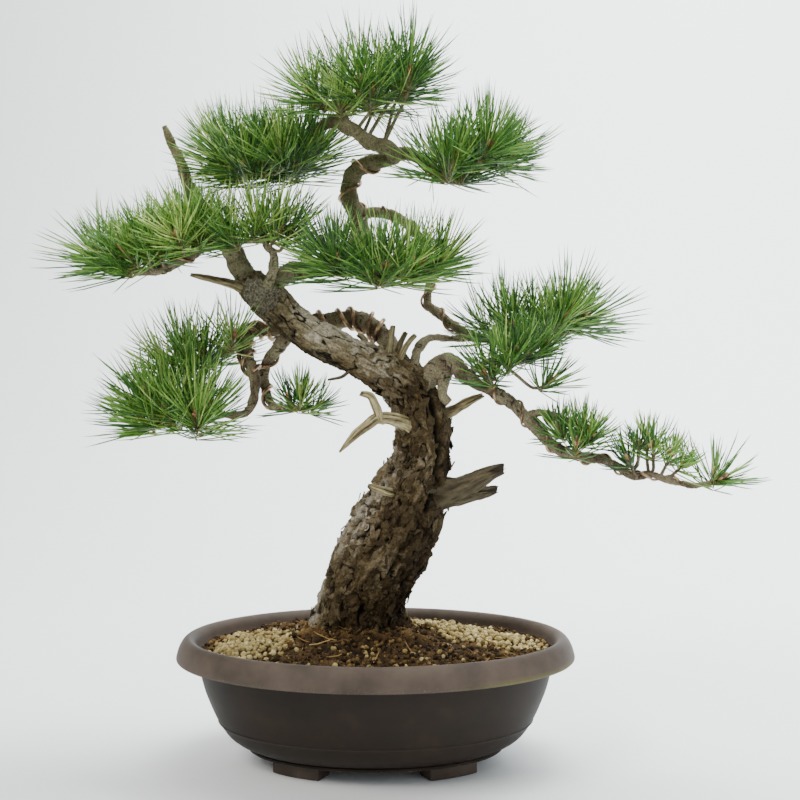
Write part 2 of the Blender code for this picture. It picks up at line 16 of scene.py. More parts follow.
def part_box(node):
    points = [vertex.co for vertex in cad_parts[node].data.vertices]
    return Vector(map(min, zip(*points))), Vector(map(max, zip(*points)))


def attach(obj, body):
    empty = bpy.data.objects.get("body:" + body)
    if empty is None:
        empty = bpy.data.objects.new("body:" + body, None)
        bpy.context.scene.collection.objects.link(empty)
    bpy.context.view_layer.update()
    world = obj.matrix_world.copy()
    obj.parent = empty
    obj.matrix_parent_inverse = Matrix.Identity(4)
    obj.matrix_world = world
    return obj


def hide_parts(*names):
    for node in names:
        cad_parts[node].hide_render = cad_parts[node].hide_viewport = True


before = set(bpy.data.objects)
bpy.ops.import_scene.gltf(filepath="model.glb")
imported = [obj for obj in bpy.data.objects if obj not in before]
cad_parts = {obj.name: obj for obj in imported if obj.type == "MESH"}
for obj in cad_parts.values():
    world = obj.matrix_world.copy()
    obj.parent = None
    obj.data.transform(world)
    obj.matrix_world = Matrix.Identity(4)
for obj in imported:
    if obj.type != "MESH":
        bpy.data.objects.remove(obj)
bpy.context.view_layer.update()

MM = 0.001
SCENE = bpy.context.scene
RANDOM = np.random.default_rng(20)
# Until it has a seed, noise_vector takes its offsets from the clock.
noise.seed_set(20)

# %% [markdown]
# ## Camera and studio
# A product picture of a plant is taken from a little over a metre away, level with the middle
# of the tree, with a short portrait lens. The ground and the wall behind are one pale sheet
# that curves up, so that no edge shows behind the branches.

# %% Helpers for selecting and for setting down stage pieces
def only(piece):
    """Make one object the only selected and active one."""
    if bpy.context.mode != "OBJECT":
        bpy.ops.object.mode_set(mode="OBJECT")
    bpy.ops.object.select_all(action="DESELECT")
    piece.select_set(True)
    bpy.context.view_layer.objects.active = piece
    return piece


def settle(piece):
    """Put an object's place, turn and size into its mesh."""
    only(piece)
    bpy.ops.object.transform_apply(location=True, rotation=True, scale=True)
    return piece


def tone(code):
    """A colour written as sRGB hex, as the linear numbers that a shader wants."""
    parts = [int(code[i:i + 2], 16) / 255 for i in (1, 3, 5)]
    return tuple(c / 12.92 if c <= 0.04045 else ((c + 0.055) / 1.055) ** 2.4 for c in parts) + (1.0,)


# %% Camera
CAMERA_PLACE = (0.0, -1.210, 0.370)
CAMERA_PITCH = math.radians(90 - 0.61)
LENS = 54.8

bpy.ops.object.camera_add(location=CAMERA_PLACE, rotation=(CAMERA_PITCH, 0, 0))
camera = bpy.context.object
camera.data.lens = LENS
camera.data.sensor_width = 36
SCENE.camera = camera
print("camera lens", LENS)

# %% Floor that curves up into a wall
bpy.ops.object.select_all(action="DESELECT")
bpy.ops.mesh.primitive_plane_add(size=1, location=(0, 0, 0))
floor = bpy.context.object
floor.name = "studio_sheet"
floor.scale = (9, 5, 1)
settle(floor)
bpy.ops.object.mode_set(mode="EDIT")
bpy.ops.mesh.select_all(action="DESELECT")
bpy.ops.object.mode_set(mode="OBJECT")
for edge in floor.data.edges:
    edge.select = all(floor.data.vertices[v].co.y > 0 for v in edge.vertices)
bpy.ops.object.mode_set(mode="EDIT")
bpy.ops.mesh.extrude_region_move(TRANSFORM_OT_translate={"value": (0, 0.6, 4)})
bpy.ops.object.mode_set(mode="OBJECT")
bend = floor.modifiers.new("bend", "BEVEL")
bend.width, bend.segments, bend.limit_method = 1.6, 24, "ANGLE"
bpy.ops.object.modifier_apply(modifier="bend")
bpy.ops.object.shade_smooth()

sheet_paint = bpy.data.materials.new("matt_studio_paper")
sheet_paint.use_nodes = True
sheet_shader = sheet_paint.node_tree.nodes["Principled BSDF"]
sheet_shader.inputs["Base Color"].default_value = tone("#F6F9FA")
sheet_shader.inputs["Roughness"].default_value = 0.95
sheet_shader.inputs["Specular IOR Level"].default_value = 0.1
floor.data.materials.append(sheet_paint)
print("studio sheet faces", len(floor.data.polygons))

# %% Soft lights
def soft_light(name, place, aim, size, power, colour):
    """A large square lamp that faces a point."""
    bpy.ops.object.light_add(type="AREA", location=place)
    lamp = bpy.context.object
    lamp.name = name
    lamp.rotation_euler = (Vector(aim) - Vector(place)).to_track_quat("-Z", "Y").to_euler()
    lamp.data.size = size
    lamp.data.energy = power
    lamp.data.color = tone(colour)[:3]
    return lamp


AIM = (0, 0, 0.35)
soft_light("key", (-1.5, -1.5, 2.1), AIM, 1.1, 56, "#FFFBF2")
soft_light("fill", (1.7, -1.6, 1.0), AIM, 1.6, 12, "#F2F7FF")
soft_light("top", (0.1, 0.3, 2.4), AIM, 1.4, 26, "#FFFFFF")
soft_light("wall_wash", (1.0, 0.4, 2.6), (1.6, 3.0, 0.8), 2.2, 270, "#F8FBFB")

world = bpy.data.worlds.new("studio_air")
SCENE.world = world
world.use_nodes = True
sky = world.node_tree.nodes["Background"]
sky.inputs["Color"].default_value = tone("#EEF3F5")
sky.inputs["Strength"].default_value = 0.52
print("lights set")

# %% [markdown]
# ## Materials
# Each surface is built from noise at the size of its real detail: crumbs, bark plates, scratches.
# One small function adds a node, sets its sockets and joins it to the nodes before it, so that a
# material reads as a short list. Where a pattern has to follow the growth of the wood, the mesh
# carries a number for each point (the painted shade of its cracks and hollows, "plate", "cut", "tint",
# "reach"), and the material reads it.

# %% Node helper
def start_material(name, roughness, specular=0.5):
    """A new material and its shader node."""
    made = bpy.data.materials.new(name)
    made.use_nodes = True
    shader = made.node_tree.nodes["Principled BSDF"]
    shader.inputs["Roughness"].default_value = roughness
    shader.inputs["Specular IOR Level"].default_value = specular
    return made, made.node_tree, shader


def add_node(tree, kind, settings=None, links=None):
    """Add one node; settings are its properties or socket values, links are what feeds it."""
    node = tree.nodes.new(kind)
    for key, value in (settings or {}).items():
        if isinstance(key, int) or key in node.inputs:
            node.inputs[key].default_value = value
        else:
            setattr(node, key, value)
    for key, source in (links or {}).items():
        tree.links.new(source, node.inputs[key])
    return node


def stops(node, colours):
    """Set a colour ramp from (place, hex) pairs."""
    ramp = node.color_ramp
    while len(ramp.elements) < len(colours):
        ramp.elements.new(0.5)
    for element, (place, code) in zip(ramp.elements, colours):
        element.position = place
        element.color = tone(code)
    return node


def speckle(tree, size_mm, detail=3.0, rough=0.55, source=None):
    """Noise whose patches are about size_mm across, on the piece's own coordinates."""
    place = source or add_node(tree, "ShaderNodeTexCoord").outputs["Object"]
    return add_node(tree, "ShaderNodeTexNoise",
                    {"Scale": 1 / (size_mm * MM), "Detail": detail, "Roughness": rough},
                    {"Vector": place})


def blend_colours(tree, share, first, second, kind="MIX"):
    """Mix two colours by a share; first and second are sockets or hex codes."""
    mixed = add_node(tree, "ShaderNodeMix", {"data_type": "RGBA", "blend_type": kind})
    if isinstance(share, float):
        mixed.inputs[0].default_value = share
    else:
        tree.links.new(share, mixed.inputs[0])
    for index, part in ((6, first), (7, second)):
        if isinstance(part, str):
            mixed.inputs[index].default_value = tone(part)
        else:
            tree.links.new(part, mixed.inputs[index])
    return mixed.outputs[2]


def raise_surface(tree, shader, height, strength, depth_mm):
    """Bump from a height socket."""
    bump = add_node(tree, "ShaderNodeBump", {"Strength": strength, "Distance": depth_mm * MM},
                    {"Height": height})
    tree.links.new(bump.outputs["Normal"], shader.inputs["Normal"])


# %% Moulded plastic of the pot
def make_pot_plastic():
    """Matt brown polypropylene, injection moulded, dusty on its rim; the rim is painted paler as light and
    the body darker as shade.
    """
    made, tree, shader = start_material("moulded_polypropylene", 0.62, 0.20)
    place = add_node(tree, "ShaderNodeTexCoord").outputs["Object"]
    parts = add_node(tree, "ShaderNodeSeparateXYZ", links={0: place})
    clouds = speckle(tree, 45, 4, source=place)
    base = stops(add_node(tree, "ShaderNodeValToRGB", links={0: clouds.outputs[0]}),
                 ((0.30, "#1B140E"), (0.55, "#241B14"), (0.75, "#2E241A")))
    # Painted light and shade: the rim is coloured paler, as lit from above, and the body below it darker, as
    # in shade.
    height = add_node(tree, "ShaderNodeMapRange", {1: 0.1020, 2: 0.1035}, {0: parts.outputs[2]})
    mottle = stops(add_node(tree, "ShaderNodeValToRGB", links={0: clouds.outputs[0]}),
                   ((0.35, "#40372F"), (0.65, "#564A41")))
    # The feet are scuffed, and paler too.
    low = add_node(tree, "ShaderNodeMapRange", {1: 0.0140, 2: 0.0110}, {0: parts.outputs[2]})
    either = add_node(tree, "ShaderNodeMath", {"operation": "MAXIMUM"},
                      {0: height.outputs[0], 1: low.outputs[0]})
    rim_lit_feet_worn = blend_colours(tree, either.outputs[0], base.outputs[0], mottle.outputs[0])
    # Dust sits in small pale specks along the lip.
    grains = speckle(tree, 1.3, 2, source=place)
    dots = stops(add_node(tree, "ShaderNodeValToRGB", links={0: grains.outputs[0]}),
                 ((0.62, "#000000"), (0.78, "#B0B0B0")))
    lip = add_node(tree, "ShaderNodeMapRange", {1: 0.1090, 2: 0.1035}, {0: parts.outputs[2]})
    above = add_node(tree, "ShaderNodeMapRange", {1: 0.1018, 2: 0.1035}, {0: parts.outputs[2]})
    band = add_node(tree, "ShaderNodeMath", {"operation": "MULTIPLY"},
                    {0: lip.outputs[0], 1: above.outputs[0]})
    dusty = add_node(tree, "ShaderNodeMath", {"operation": "MULTIPLY"},
                     {0: band.outputs[0], 1: dots.outputs[0]})
    specked = blend_colours(tree, dusty.outputs[0], rim_lit_feet_worn, "#9C9186")
    # A little algae grows on the shaded right-hand lip.
    patch = speckle(tree, 14, 3, source=place)
    right = add_node(tree, "ShaderNodeMapRange", {1: 0.04, 2: 0.11}, {0: parts.outputs[0]})
    green = add_node(tree, "ShaderNodeMath", {"operation": "MULTIPLY"},
                     {0: right.outputs[0], 1: band.outputs[0]})
    greener = add_node(tree, "ShaderNodeMath", {"operation": "MULTIPLY"},
                       {0: green.outputs[0], 1: patch.outputs[0]})
    colour = blend_colours(tree, greener.outputs[0], specked, "#6C6A30")
    tree.links.new(colour, shader.inputs["Base Color"])
    fine = speckle(tree, 0.9, 3, source=place)
    raise_surface(tree, shader, fine.outputs[0], 0.25, 0.25)
    wear = add_node(tree, "ShaderNodeMapRange", {3: 0.50, 4: 0.74}, {0: clouds.outputs[0]})
    tree.links.new(wear.outputs[0], shader.inputs["Roughness"])
    return made


POT_PLASTIC = make_pot_plastic()
print("made", POT_PLASTIC.name)

# %% Soil, grit and drainage mesh
def make_crumbs(name, colours, roughness, depth_mm):
    """Loose earth or stone: a tint for each grain, and a finer grain on top."""
    made, tree, shader = start_material(name, roughness, 0.2)
    tint = add_node(tree, "ShaderNodeAttribute", {"attribute_name": "tint"})
    ramp = stops(add_node(tree, "ShaderNodeValToRGB", links={0: tint.outputs["Fac"]}), colours)
    grain = speckle(tree, 1.6, 4)
    shade = stops(add_node(tree, "ShaderNodeValToRGB", links={0: grain.outputs[0]}),
                  ((0.30, "#8A8A8A"), (0.62, "#FFFFFF")))
    colour = blend_colours(tree, 0.8, ramp.outputs[0], shade.outputs[0], "MULTIPLY")
    tree.links.new(colour, shader.inputs["Base Color"])
    raise_surface(tree, shader, grain.outputs[0], 0.6, depth_mm)
    return made


# Peaty compost, darker at a low tint and paler at a high one; on the fill the tint rises with the height of
# its lumps.
SOIL = make_crumbs("peaty_soil", ((0.0, "#2A1E11"), (0.40, "#5A4427"), (0.85, "#84693F"),
                                  (1.0, "#C0A76C")), 0.95, 0.8)
# Crushed pumice and granite sand, cream with a few darker grains.
GRIT = make_crumbs("pumice_grit", ((0.0, "#6E5C34"), (0.35, "#A5915E"), (0.75, "#C4B27C"),
                                   (1.0, "#DED0A0")), 0.90, 0.4)


def make_mesh_plastic():
    """Black polyethylene net."""
    made, tree, shader = start_material("moulded_polyethylene", 0.5)
    grain = speckle(tree, 3, 3)
    ramp = stops(add_node(tree, "ShaderNodeValToRGB", links={0: grain.outputs[0]}),
                 ((0.35, "#17181A"), (0.70, "#2A2A2B")))
    tree.links.new(ramp.outputs[0], shader.inputs["Base Color"])
    raise_surface(tree, shader, grain.outputs[0], 0.2, 0.2)
    return made


NET_PLASTIC = make_mesh_plastic()
print("made", SOIL.name, GRIT.name, NET_PLASTIC.name)

# %% Bark of the trunk
def make_old_bark():
    """Old pine bark: grey-brown plates over fissures painted near black as shade, paler and greyer higher up.
    """
    made, tree, shader = start_material("old_pine_bark", 0.88, 0.2)
    place = add_node(tree, "ShaderNodeTexCoord").outputs["Object"]
    relief_shade = add_node(tree, "ShaderNodeAttribute", {"attribute_name": "relief_shade"})
    plate = add_node(tree, "ShaderNodeAttribute", {"attribute_name": "plate"})
    low = stops(add_node(tree, "ShaderNodeValToRGB", links={0: plate.outputs["Fac"]}),
                ((0.0, "#22190E"), (0.26, "#3A2D1A"), (0.48, "#594A30"), (0.72, "#83755B"),
                 (1.0, "#BDB5A6")))
    high = stops(add_node(tree, "ShaderNodeValToRGB", links={0: plate.outputs["Fac"]}),
                 ((0.0, "#332A19"), (0.30, "#554A33"), (0.60, "#807559"), (1.0, "#B9B19C")))
    parts = add_node(tree, "ShaderNodeSeparateXYZ", links={0: place})
    upward = add_node(tree, "ShaderNodeMapRange", {1: 0.36, 2: 0.44}, {0: parts.outputs[2]})
    plates = blend_colours(tree, upward.outputs[0], low.outputs[0], high.outputs[0])
    patch = speckle(tree, 26, 3, source=place)
    ochre = stops(add_node(tree, "ShaderNodeValToRGB", links={0: patch.outputs[0]}),
                  ((0.52, "#000000"), (0.72, "#7C7C7C")))
    warm = blend_colours(tree, ochre.outputs[0], plates, "#6B5326")
    grain = speckle(tree, 2.2, 5, 0.65, source=place)
    shade = stops(add_node(tree, "ShaderNodeValToRGB", links={0: grain.outputs[0]}),
                  ((0.30, "#5C5852"), (0.60, "#FFFFFF")))
    grained = blend_colours(tree, 0.75, warm, shade.outputs[0], "MULTIPLY")
    # Painted shade: cracks and the low side of each bark step are coloured near black.
    deep = stops(add_node(tree, "ShaderNodeValToRGB", links={0: relief_shade.outputs["Fac"]}),
                 ((0.14, "#000000"), (0.80, "#FFFFFF")))
    colour = blend_colours(tree, deep.outputs[0], "#0E0A05", grained)
    # Sawn wood that has gone grey shows where "cut" is 1.
    cut = add_node(tree, "ShaderNodeAttribute", {"attribute_name": "cut"})
    sawn = stops(add_node(tree, "ShaderNodeValToRGB", links={0: grain.outputs[0]}),
                 ((0.32, "#2C281F"), (0.48, "#5E5948"), (0.66, "#8E8875")))
    final = blend_colours(tree, cut.outputs["Fac"], colour, sawn.outputs[0])
    tree.links.new(final, shader.inputs["Base Color"])
    raise_surface(tree, shader, grain.outputs[0], 1.0, 1.3)
    return made


OLD_BARK = make_old_bark()
print("made", OLD_BARK.name)

# %% Bark of the branches, and bare dead wood
def make_branch_bark():
    """Younger bark: thin rough scales, grey-brown with a green bloom of algae in places."""
    made, tree, shader = start_material("young_pine_bark", 0.85, 0.2)
    place = add_node(tree, "ShaderNodeTexCoord").outputs["Object"]
    patch = speckle(tree, 22, 3, source=place)
    base = stops(add_node(tree, "ShaderNodeValToRGB", links={0: patch.outputs[0]}),
                 ((0.34, "#5F523E"), (0.50, "#897D65"), (0.66, "#979071")))
    # Painted shade: the hollows between the scales are darkened.
    relief_shade = add_node(tree, "ShaderNodeAttribute", {"attribute_name": "relief_shade"})
    deep = stops(add_node(tree, "ShaderNodeValToRGB", links={0: relief_shade.outputs["Fac"]}),
                 ((0.15, "#2C2C2C"), (0.60, "#FFFFFF")))
    ridged = blend_colours(tree, 0.85, base.outputs[0], deep.outputs[0], "MULTIPLY")
    # Branches that hang in the sun are greyer than those inside the crown.
    parts = add_node(tree, "ShaderNodeSeparateXYZ", links={0: place})
    upward = add_node(tree, "ShaderNodeMapRange", {1: 0.42, 2: 0.60, 4: 0.55}, {0: parts.outputs[2]})
    bloom = blend_colours(tree, upward.outputs[0], ridged, "#7B7A55")
    grain = speckle(tree, 1.5, 4, 0.6, source=place)
    shade = stops(add_node(tree, "ShaderNodeValToRGB", links={0: grain.outputs[0]}),
                  ((0.30, "#787572"), (0.64, "#FFFFFF")))
    colour = blend_colours(tree, 0.8, bloom, shade.outputs[0], "MULTIPLY")
    tree.links.new(colour, shader.inputs["Base Color"])
    raise_surface(tree, shader, grain.outputs[0], 0.7, 0.5)
    return made


def make_dead_wood():
    """Bare heartwood, whitened by the sun, with long grain and a film of green in patches."""
    made, tree, shader = start_material("weathered_heartwood", 0.72, 0.3)
    place = add_node(tree, "ShaderNodeTexCoord").outputs["Object"]
    # Painted shade: the grooves along the grain are coloured dark and the ridges pale.
    relief_shade = add_node(tree, "ShaderNodeAttribute", {"attribute_name": "relief_shade"})
    base = stops(add_node(tree, "ShaderNodeValToRGB", links={0: relief_shade.outputs["Fac"]}),
                 ((0.14, "#241B11"), (0.42, "#64573B"), (0.70, "#978A64"), (1.0, "#BFB28A")))
    patch = speckle(tree, 12, 3, source=place)
    film = stops(add_node(tree, "ShaderNodeValToRGB", links={0: patch.outputs[0]}),
                 ((0.48, "#000000"), (0.66, "#B0B0B0")))
    tinted = blend_colours(tree, film.outputs[0], base.outputs[0], "#6B6936")
    tint = add_node(tree, "ShaderNodeAttribute", {"attribute_name": "tint"})
    darker = blend_colours(tree, tint.outputs["Fac"], tinted, "#31281D")
    tree.links.new(darker, shader.inputs["Base Color"])
    grain = speckle(tree, 1.2, 4, 0.6, source=place)
    raise_surface(tree, shader, grain.outputs[0], 0.5, 0.3)
    return made


BRANCH_BARK = make_branch_bark()
DEAD_WOOD = make_dead_wood()
print("made", BRANCH_BARK.name, DEAD_WOOD.name)

# %% Wire, needles and buds
def make_wire_metal():
    """Copper-coloured anodised aluminium wire, tarnished in patches."""
    made, tree, shader = start_material("anodised_aluminium_wire", 0.42)
    shader.inputs["Metallic"].default_value = 0.8
    clouds = speckle(tree, 9, 4)
    ramp = stops(add_node(tree, "ShaderNodeValToRGB", links={0: clouds.outputs[0]}),
                 ((0.32, "#46362A"), (0.48, "#7E654C"), (0.66, "#C0A27E")))
    tree.links.new(ramp.outputs[0], shader.inputs["Base Color"])
    rough = add_node(tree, "ShaderNodeMapRange", {3: 0.22, 4: 0.50}, {0: clouds.outputs[0]})
    tree.links.new(rough.outputs[0], shader.inputs["Roughness"])
    return made


def make_needle_skin():
    """Pine needles: waxy, mid green, yellower on the newest and darker on the oldest."""
    made, tree, shader = start_material("pine_needle", 0.42, 0.45)
    tint = add_node(tree, "ShaderNodeAttribute", {"attribute_name": "tint"})
    reach = add_node(tree, "ShaderNodeAttribute", {"attribute_name": "reach"})
    green = stops(add_node(tree, "ShaderNodeValToRGB", links={0: tint.outputs["Fac"]}),
                  ((0.0, "#24491A"), (0.30, "#3F7424"), (0.62, "#74A63C"), (1.0, "#C2D878")))
    base = stops(add_node(tree, "ShaderNodeValToRGB", links={0: reach.outputs["Fac"]}),
                 ((0.0, "#FFFFFF"), (0.07, "#D0D0D0"), (0.16, "#000000")))
    sheathed = blend_colours(tree, base.outputs[0], green.outputs[0], "#A8A061")
    streak = speckle(tree, 7, 2)
    shade = stops(add_node(tree, "ShaderNodeValToRGB", links={0: streak.outputs[0]}),
                  ((0.30, "#B5B5B5"), (0.60, "#FFFFFF")))
    colour = blend_colours(tree, 0.7, sheathed, shade.outputs[0], "MULTIPLY")
    tree.links.new(colour, shader.inputs["Base Color"])
    shader.inputs["Subsurface Weight"].default_value = 0.0
    return made


def make_bud_scales():
    """Winter buds: red-brown papery scales with cream fringes and resin."""
    made, tree, shader = start_material("resinous_bud_scale", 0.55, 0.5)
    tint = add_node(tree, "ShaderNodeAttribute", {"attribute_name": "tint"})
    reach = add_node(tree, "ShaderNodeAttribute", {"attribute_name": "reach"})
    brown = stops(add_node(tree, "ShaderNodeValToRGB", links={0: tint.outputs["Fac"]}),
                  ((0.0, "#6A3A20"), (0.6, "#9C5E36"), (1.0, "#C79A68")))
    tip = stops(add_node(tree, "ShaderNodeValToRGB", links={0: reach.outputs["Fac"]}),
                ((0.55, "#000000"), (1.0, "#B0B0B0")))
    colour = blend_colours(tree, tip.outputs[0], brown.outputs[0], "#D9C7A4")
    tree.links.new(colour, shader.inputs["Base Color"])
    scales = speckle(tree, 1.0, 3)
    raise_surface(tree, shader, scales.outputs[0], 0.6, 0.4)
    return made


WIRE_METAL = make_wire_metal()
NEEDLE_SKIN = make_needle_skin()
BUD_SCALES = make_bud_scales()


def make_straw():
    """Needles that fell a year ago: dry, brown to straw-coloured."""
    made, tree, shader = start_material("dry_fallen_needle", 0.7, 0.3)
    tint = add_node(tree, "ShaderNodeAttribute", {"attribute_name": "tint"})
    ramp = stops(add_node(tree, "ShaderNodeValToRGB", links={0: tint.outputs["Fac"]}),
                 ((0.0, "#4E341C"), (0.6, "#9A7440"), (1.0, "#C6A468")))
    tree.links.new(ramp.outputs[0], shader.inputs["Base Color"])
    return made


STRAW = make_straw()
print("made", WIRE_METAL.name, NEEDLE_SKIN.name, BUD_SCALES.name)

# %% [markdown]
# ## Pot
# The pot is one moulding with a base ring, a bowl, a fine raised line, an overhanging rolled rim
# and four short feet. It isn't round but oval, with the same wall shape all the way round, so
# a spin would not do. A circle is stretched to the oval of the base, then its face is extruded
# upwards step by step, and at each step the ring is resized to the next oval. The same face goes
# up the outside, over the rim and down the inside to the floor, which leaves one closed wall.

# %% Sizes of the pot, read from the frame
pot_low, pot_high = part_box("pot")
POT_X = (pot_low.x + pot_high.x) / 2
POT_TOP = pot_high.z
HALF_LENGTH = (pot_high.x - pot_low.x) / 2
HALF_DEPTH = (pot_high.y - pot_low.y) / 2
RIM_HEIGHT, RIM_OVERHANG = 0.0220, 0.0215
BASE_INSET, FOOT_HEIGHT, RING_HEIGHT = 0.0710, 0.0125, 0.0040
WALL = 0.0040
POT_SIDES = 160
RIM_UNDER = POT_TOP - RIM_HEIGHT
BOWL = ((0.0, 1.0), (0.04, 0.82), (0.13, 0.60), (0.30, 0.395), (0.45, 0.275), (0.64, 0.141),
        (0.80, 0.060), (1.0, 0.0))
print("pot", 2 * HALF_LENGTH, 2 * HALF_DEPTH, POT_TOP)

# %% The wall's profile, from the base up, over the rim and down inside
def smooth_bowl(count):
    """Points on a smooth curve through the bowl's shape, as (inset, height)."""
    low = FOOT_HEIGHT + RING_HEIGHT
    ups = np.linspace(0, 1, count)
    inwards = np.interp(ups, [p[0] for p in BOWL], [p[1] for p in BOWL])
    for _ in range(3):
        inwards[1:-1] = (inwards[:-2] + 2 * inwards[1:-1] + inwards[2:]) / 4
    return [(RIM_OVERHANG + (BASE_INSET - RIM_OVERHANG) * i, low + (RIM_UNDER - low) * u)
            for u, i in zip(ups, inwards)]


def pot_profile():
    """Every ring of the pot as (inset from the lip's oval, height)."""
    outside = smooth_bowl(34)
    bead = 0.0420
    rings = [(BASE_INSET + 0.0040, FOOT_HEIGHT), (BASE_INSET + 0.0006, FOOT_HEIGHT + 0.0002),
             (BASE_INSET - 0.0004, FOOT_HEIGHT + 0.0010),
             (BASE_INSET - 0.0006, FOOT_HEIGHT + RING_HEIGHT - 0.0012),
             (BASE_INSET + 0.0004, FOOT_HEIGHT + RING_HEIGHT - 0.0002)]
    levels, insets = [h for _, h in outside], [i for i, _ in outside]
    bulges = ((-0.0016, 0.0), (-0.0010, 0.0003), (-0.0004, 0.0008), (0.0002, 0.0009),
              (0.0008, 0.0005), (0.0014, 0.0))
    ring_line = [(float(np.interp(bead + up, levels, insets)) - out, bead + up) for up, out in bulges]
    below = [p for p in outside[1:] if p[1] < bead - 0.0024]
    above = [p for p in outside[1:] if p[1] > bead + 0.0022]
    rings += below + ring_line + above
    rim = ((0.0205, -0.01), (0.0045, 0.0), (0.0026, 0.0), (0.0012, 0.01), (0.0003, 0.05),
           (0.0, 0.11), (0.0003, 0.19), (0.0008, 0.28), (0.0014, 0.38), (0.0021, 0.48),
           (0.0030, 0.58), (0.0042, 0.69), (0.0056, 0.79), (0.0072, 0.88), (0.0090, 0.95),
           (0.0108, 0.99), (0.0122, 1.0), (0.0137, 0.985), (0.0153, 0.95), (0.0168, 0.89),
           (0.0180, 0.82), (0.0190, 0.74), (0.0198, 0.63), (0.0205, 0.50), (0.0215, 0.38),
           (0.0228, 0.26))
    rings += [(inset, RIM_UNDER + share * RIM_HEIGHT) for inset, share in rim]
    inside = [(inset + WALL, height + 0.0010) for inset, height in outside if height > 0.022]
    inside[-1] = (RIM_OVERHANG + WALL, RIM_UNDER)
    rings += inside[::-1]
    rings += [(BASE_INSET + WALL, FOOT_HEIGHT + RING_HEIGHT + 0.0020)]
    return rings


PROFILE = pot_profile()
print("rings in the pot's wall", len(PROFILE))

# %% Extrude the wall ring by ring
def oval_size(inset):
    """Half length and half depth of the pot's oval at an inset from its lip."""
    return HALF_LENGTH - inset, HALF_DEPTH - inset


bpy.ops.object.select_all(action="DESELECT")
bpy.ops.mesh.primitive_circle_add(vertices=POT_SIDES, radius=1, fill_type="NGON",
                                  location=(POT_X, 0, PROFILE[0][1]))
pot = bpy.context.object
pot.name = "pot_moulding"
size_x, size_y = oval_size(PROFILE[0][0])
pot.scale = (size_x, size_y, 1)
settle(pot)
bpy.ops.object.mode_set(mode="EDIT")
bpy.ops.mesh.select_all(action="SELECT")
height = PROFILE[0][1]
for inset, next_height in PROFILE[1:]:
    next_x, next_y = oval_size(inset)
    bpy.ops.mesh.extrude_region_move(TRANSFORM_OT_translate={"value": (0, 0, next_height - height)})
    bpy.ops.transform.resize(value=(next_x / size_x, next_y / size_y, 1),
                             center_override=(POT_X, 0, next_height))
    size_x, size_y, height = next_x, next_y, next_height
bpy.ops.mesh.select_all(action="SELECT")
bpy.ops.mesh.normals_make_consistent(inside=False)
bpy.ops.object.mode_set(mode="OBJECT")
print("pot faces", len(pot.data.polygons))

# %% [markdown]
# The feet follow the base ring, so each one is a short curved bar. A small square is drawn across
# the ring's run and extruded along it. The feet and two drain holes are joined to the wall and cut
# from it with Boolean modifiers, as the mould does in one go.

# %% Feet and drain holes
FOOT_WIDTH, FOOT_SET_IN = 0.022, 0.006
FOOT_TURNS = [math.radians(35 + 29 * i / 10) for i in range(11)]
DRAIN_SPACING, DRAIN_RADIUS = 0.110, 0.0100


def foot_corner(turn, side, front, width):
    """A corner of the foot on the oval, in plan."""
    reach_x, reach_y = oval_size(BASE_INSET + FOOT_SET_IN + width)
    return POT_X + side * reach_x * math.cos(turn), front * reach_y * math.sin(turn)


def add_foot(side, front):
    """One foot, extruded along the oval and softened along its edges."""
    top = FOOT_HEIGHT + RING_HEIGHT / 2
    points, faces = [], []
    for turn in FOOT_TURNS:
        for width, level in ((0, 0), (FOOT_WIDTH, 0), (FOOT_WIDTH, top), (0, top)):
            points.append((*foot_corner(turn, side, front, width), level))
    for i in range(len(FOOT_TURNS) - 1):
        for k in range(4):
            a, b = 4 * i + k, 4 * i + (k + 1) % 4
            faces.append((a, b, b + 4, a + 4))
    faces += [(3, 2, 1, 0), tuple(len(points) - 4 + k for k in range(4))]
    mesh = bpy.data.meshes.new("foot")
    mesh.from_pydata(points, [], faces)
    foot = bpy.data.objects.new("foot", mesh)
    SCENE.collection.objects.link(foot)
    only(foot)
    bpy.ops.object.mode_set(mode="EDIT")
    bpy.ops.mesh.select_all(action="SELECT")
    bpy.ops.mesh.normals_make_consistent(inside=False)
    bpy.ops.object.mode_set(mode="OBJECT")
    soften = foot.modifiers.new("soften", "BEVEL")
    soften.width, soften.segments, soften.angle_limit = 0.0012, 2, math.radians(50)
    bpy.ops.object.modifier_apply(modifier="soften")
    return foot


def boolean(piece, other, operation):
    """Join or cut piece with other, and throw other away."""
    only(piece)
    step = piece.modifiers.new("step", "BOOLEAN")
    step.operation, step.solver, step.object = operation, "EXACT", other
    bpy.ops.object.modifier_apply(modifier="step")
    bpy.data.objects.remove(other)


for side in (-1, 1):
    for front in (-1, 1):
        boolean(pot, add_foot(side, front), "UNION")
for side in (-1, 1):
    bpy.ops.mesh.primitive_cylinder_add(vertices=48, radius=DRAIN_RADIUS, depth=0.03,
                                        location=(POT_X + side * DRAIN_SPACING / 2, 0, 0.018))
    boolean(pot, bpy.context.object, "DIFFERENCE")


def finish_piece(piece, material, slot, *nodes, angle=35):
    """Give a piece its material, smooth shading and place on the frame; slot is not used."""
    piece.data.materials.clear()
    piece.data.materials.append(material)
    only(piece)
    if angle:
        bpy.ops.object.shade_smooth_by_angle(angle=math.radians(angle))
    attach(piece, "root")
    if nodes:
        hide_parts(*nodes)
    return piece


finish_piece(pot, POT_PLASTIC, "pot_plastic", "pot")
print("pot finished", len(pot.data.polygons), "faces")

# %% [markdown]
# ## Drainage mesh
# A square of black net lies over each drain hole. Its holes are real: a grid of faces is inset
# one by one, the middles are deleted, and Solidify gives the strands their thickness.

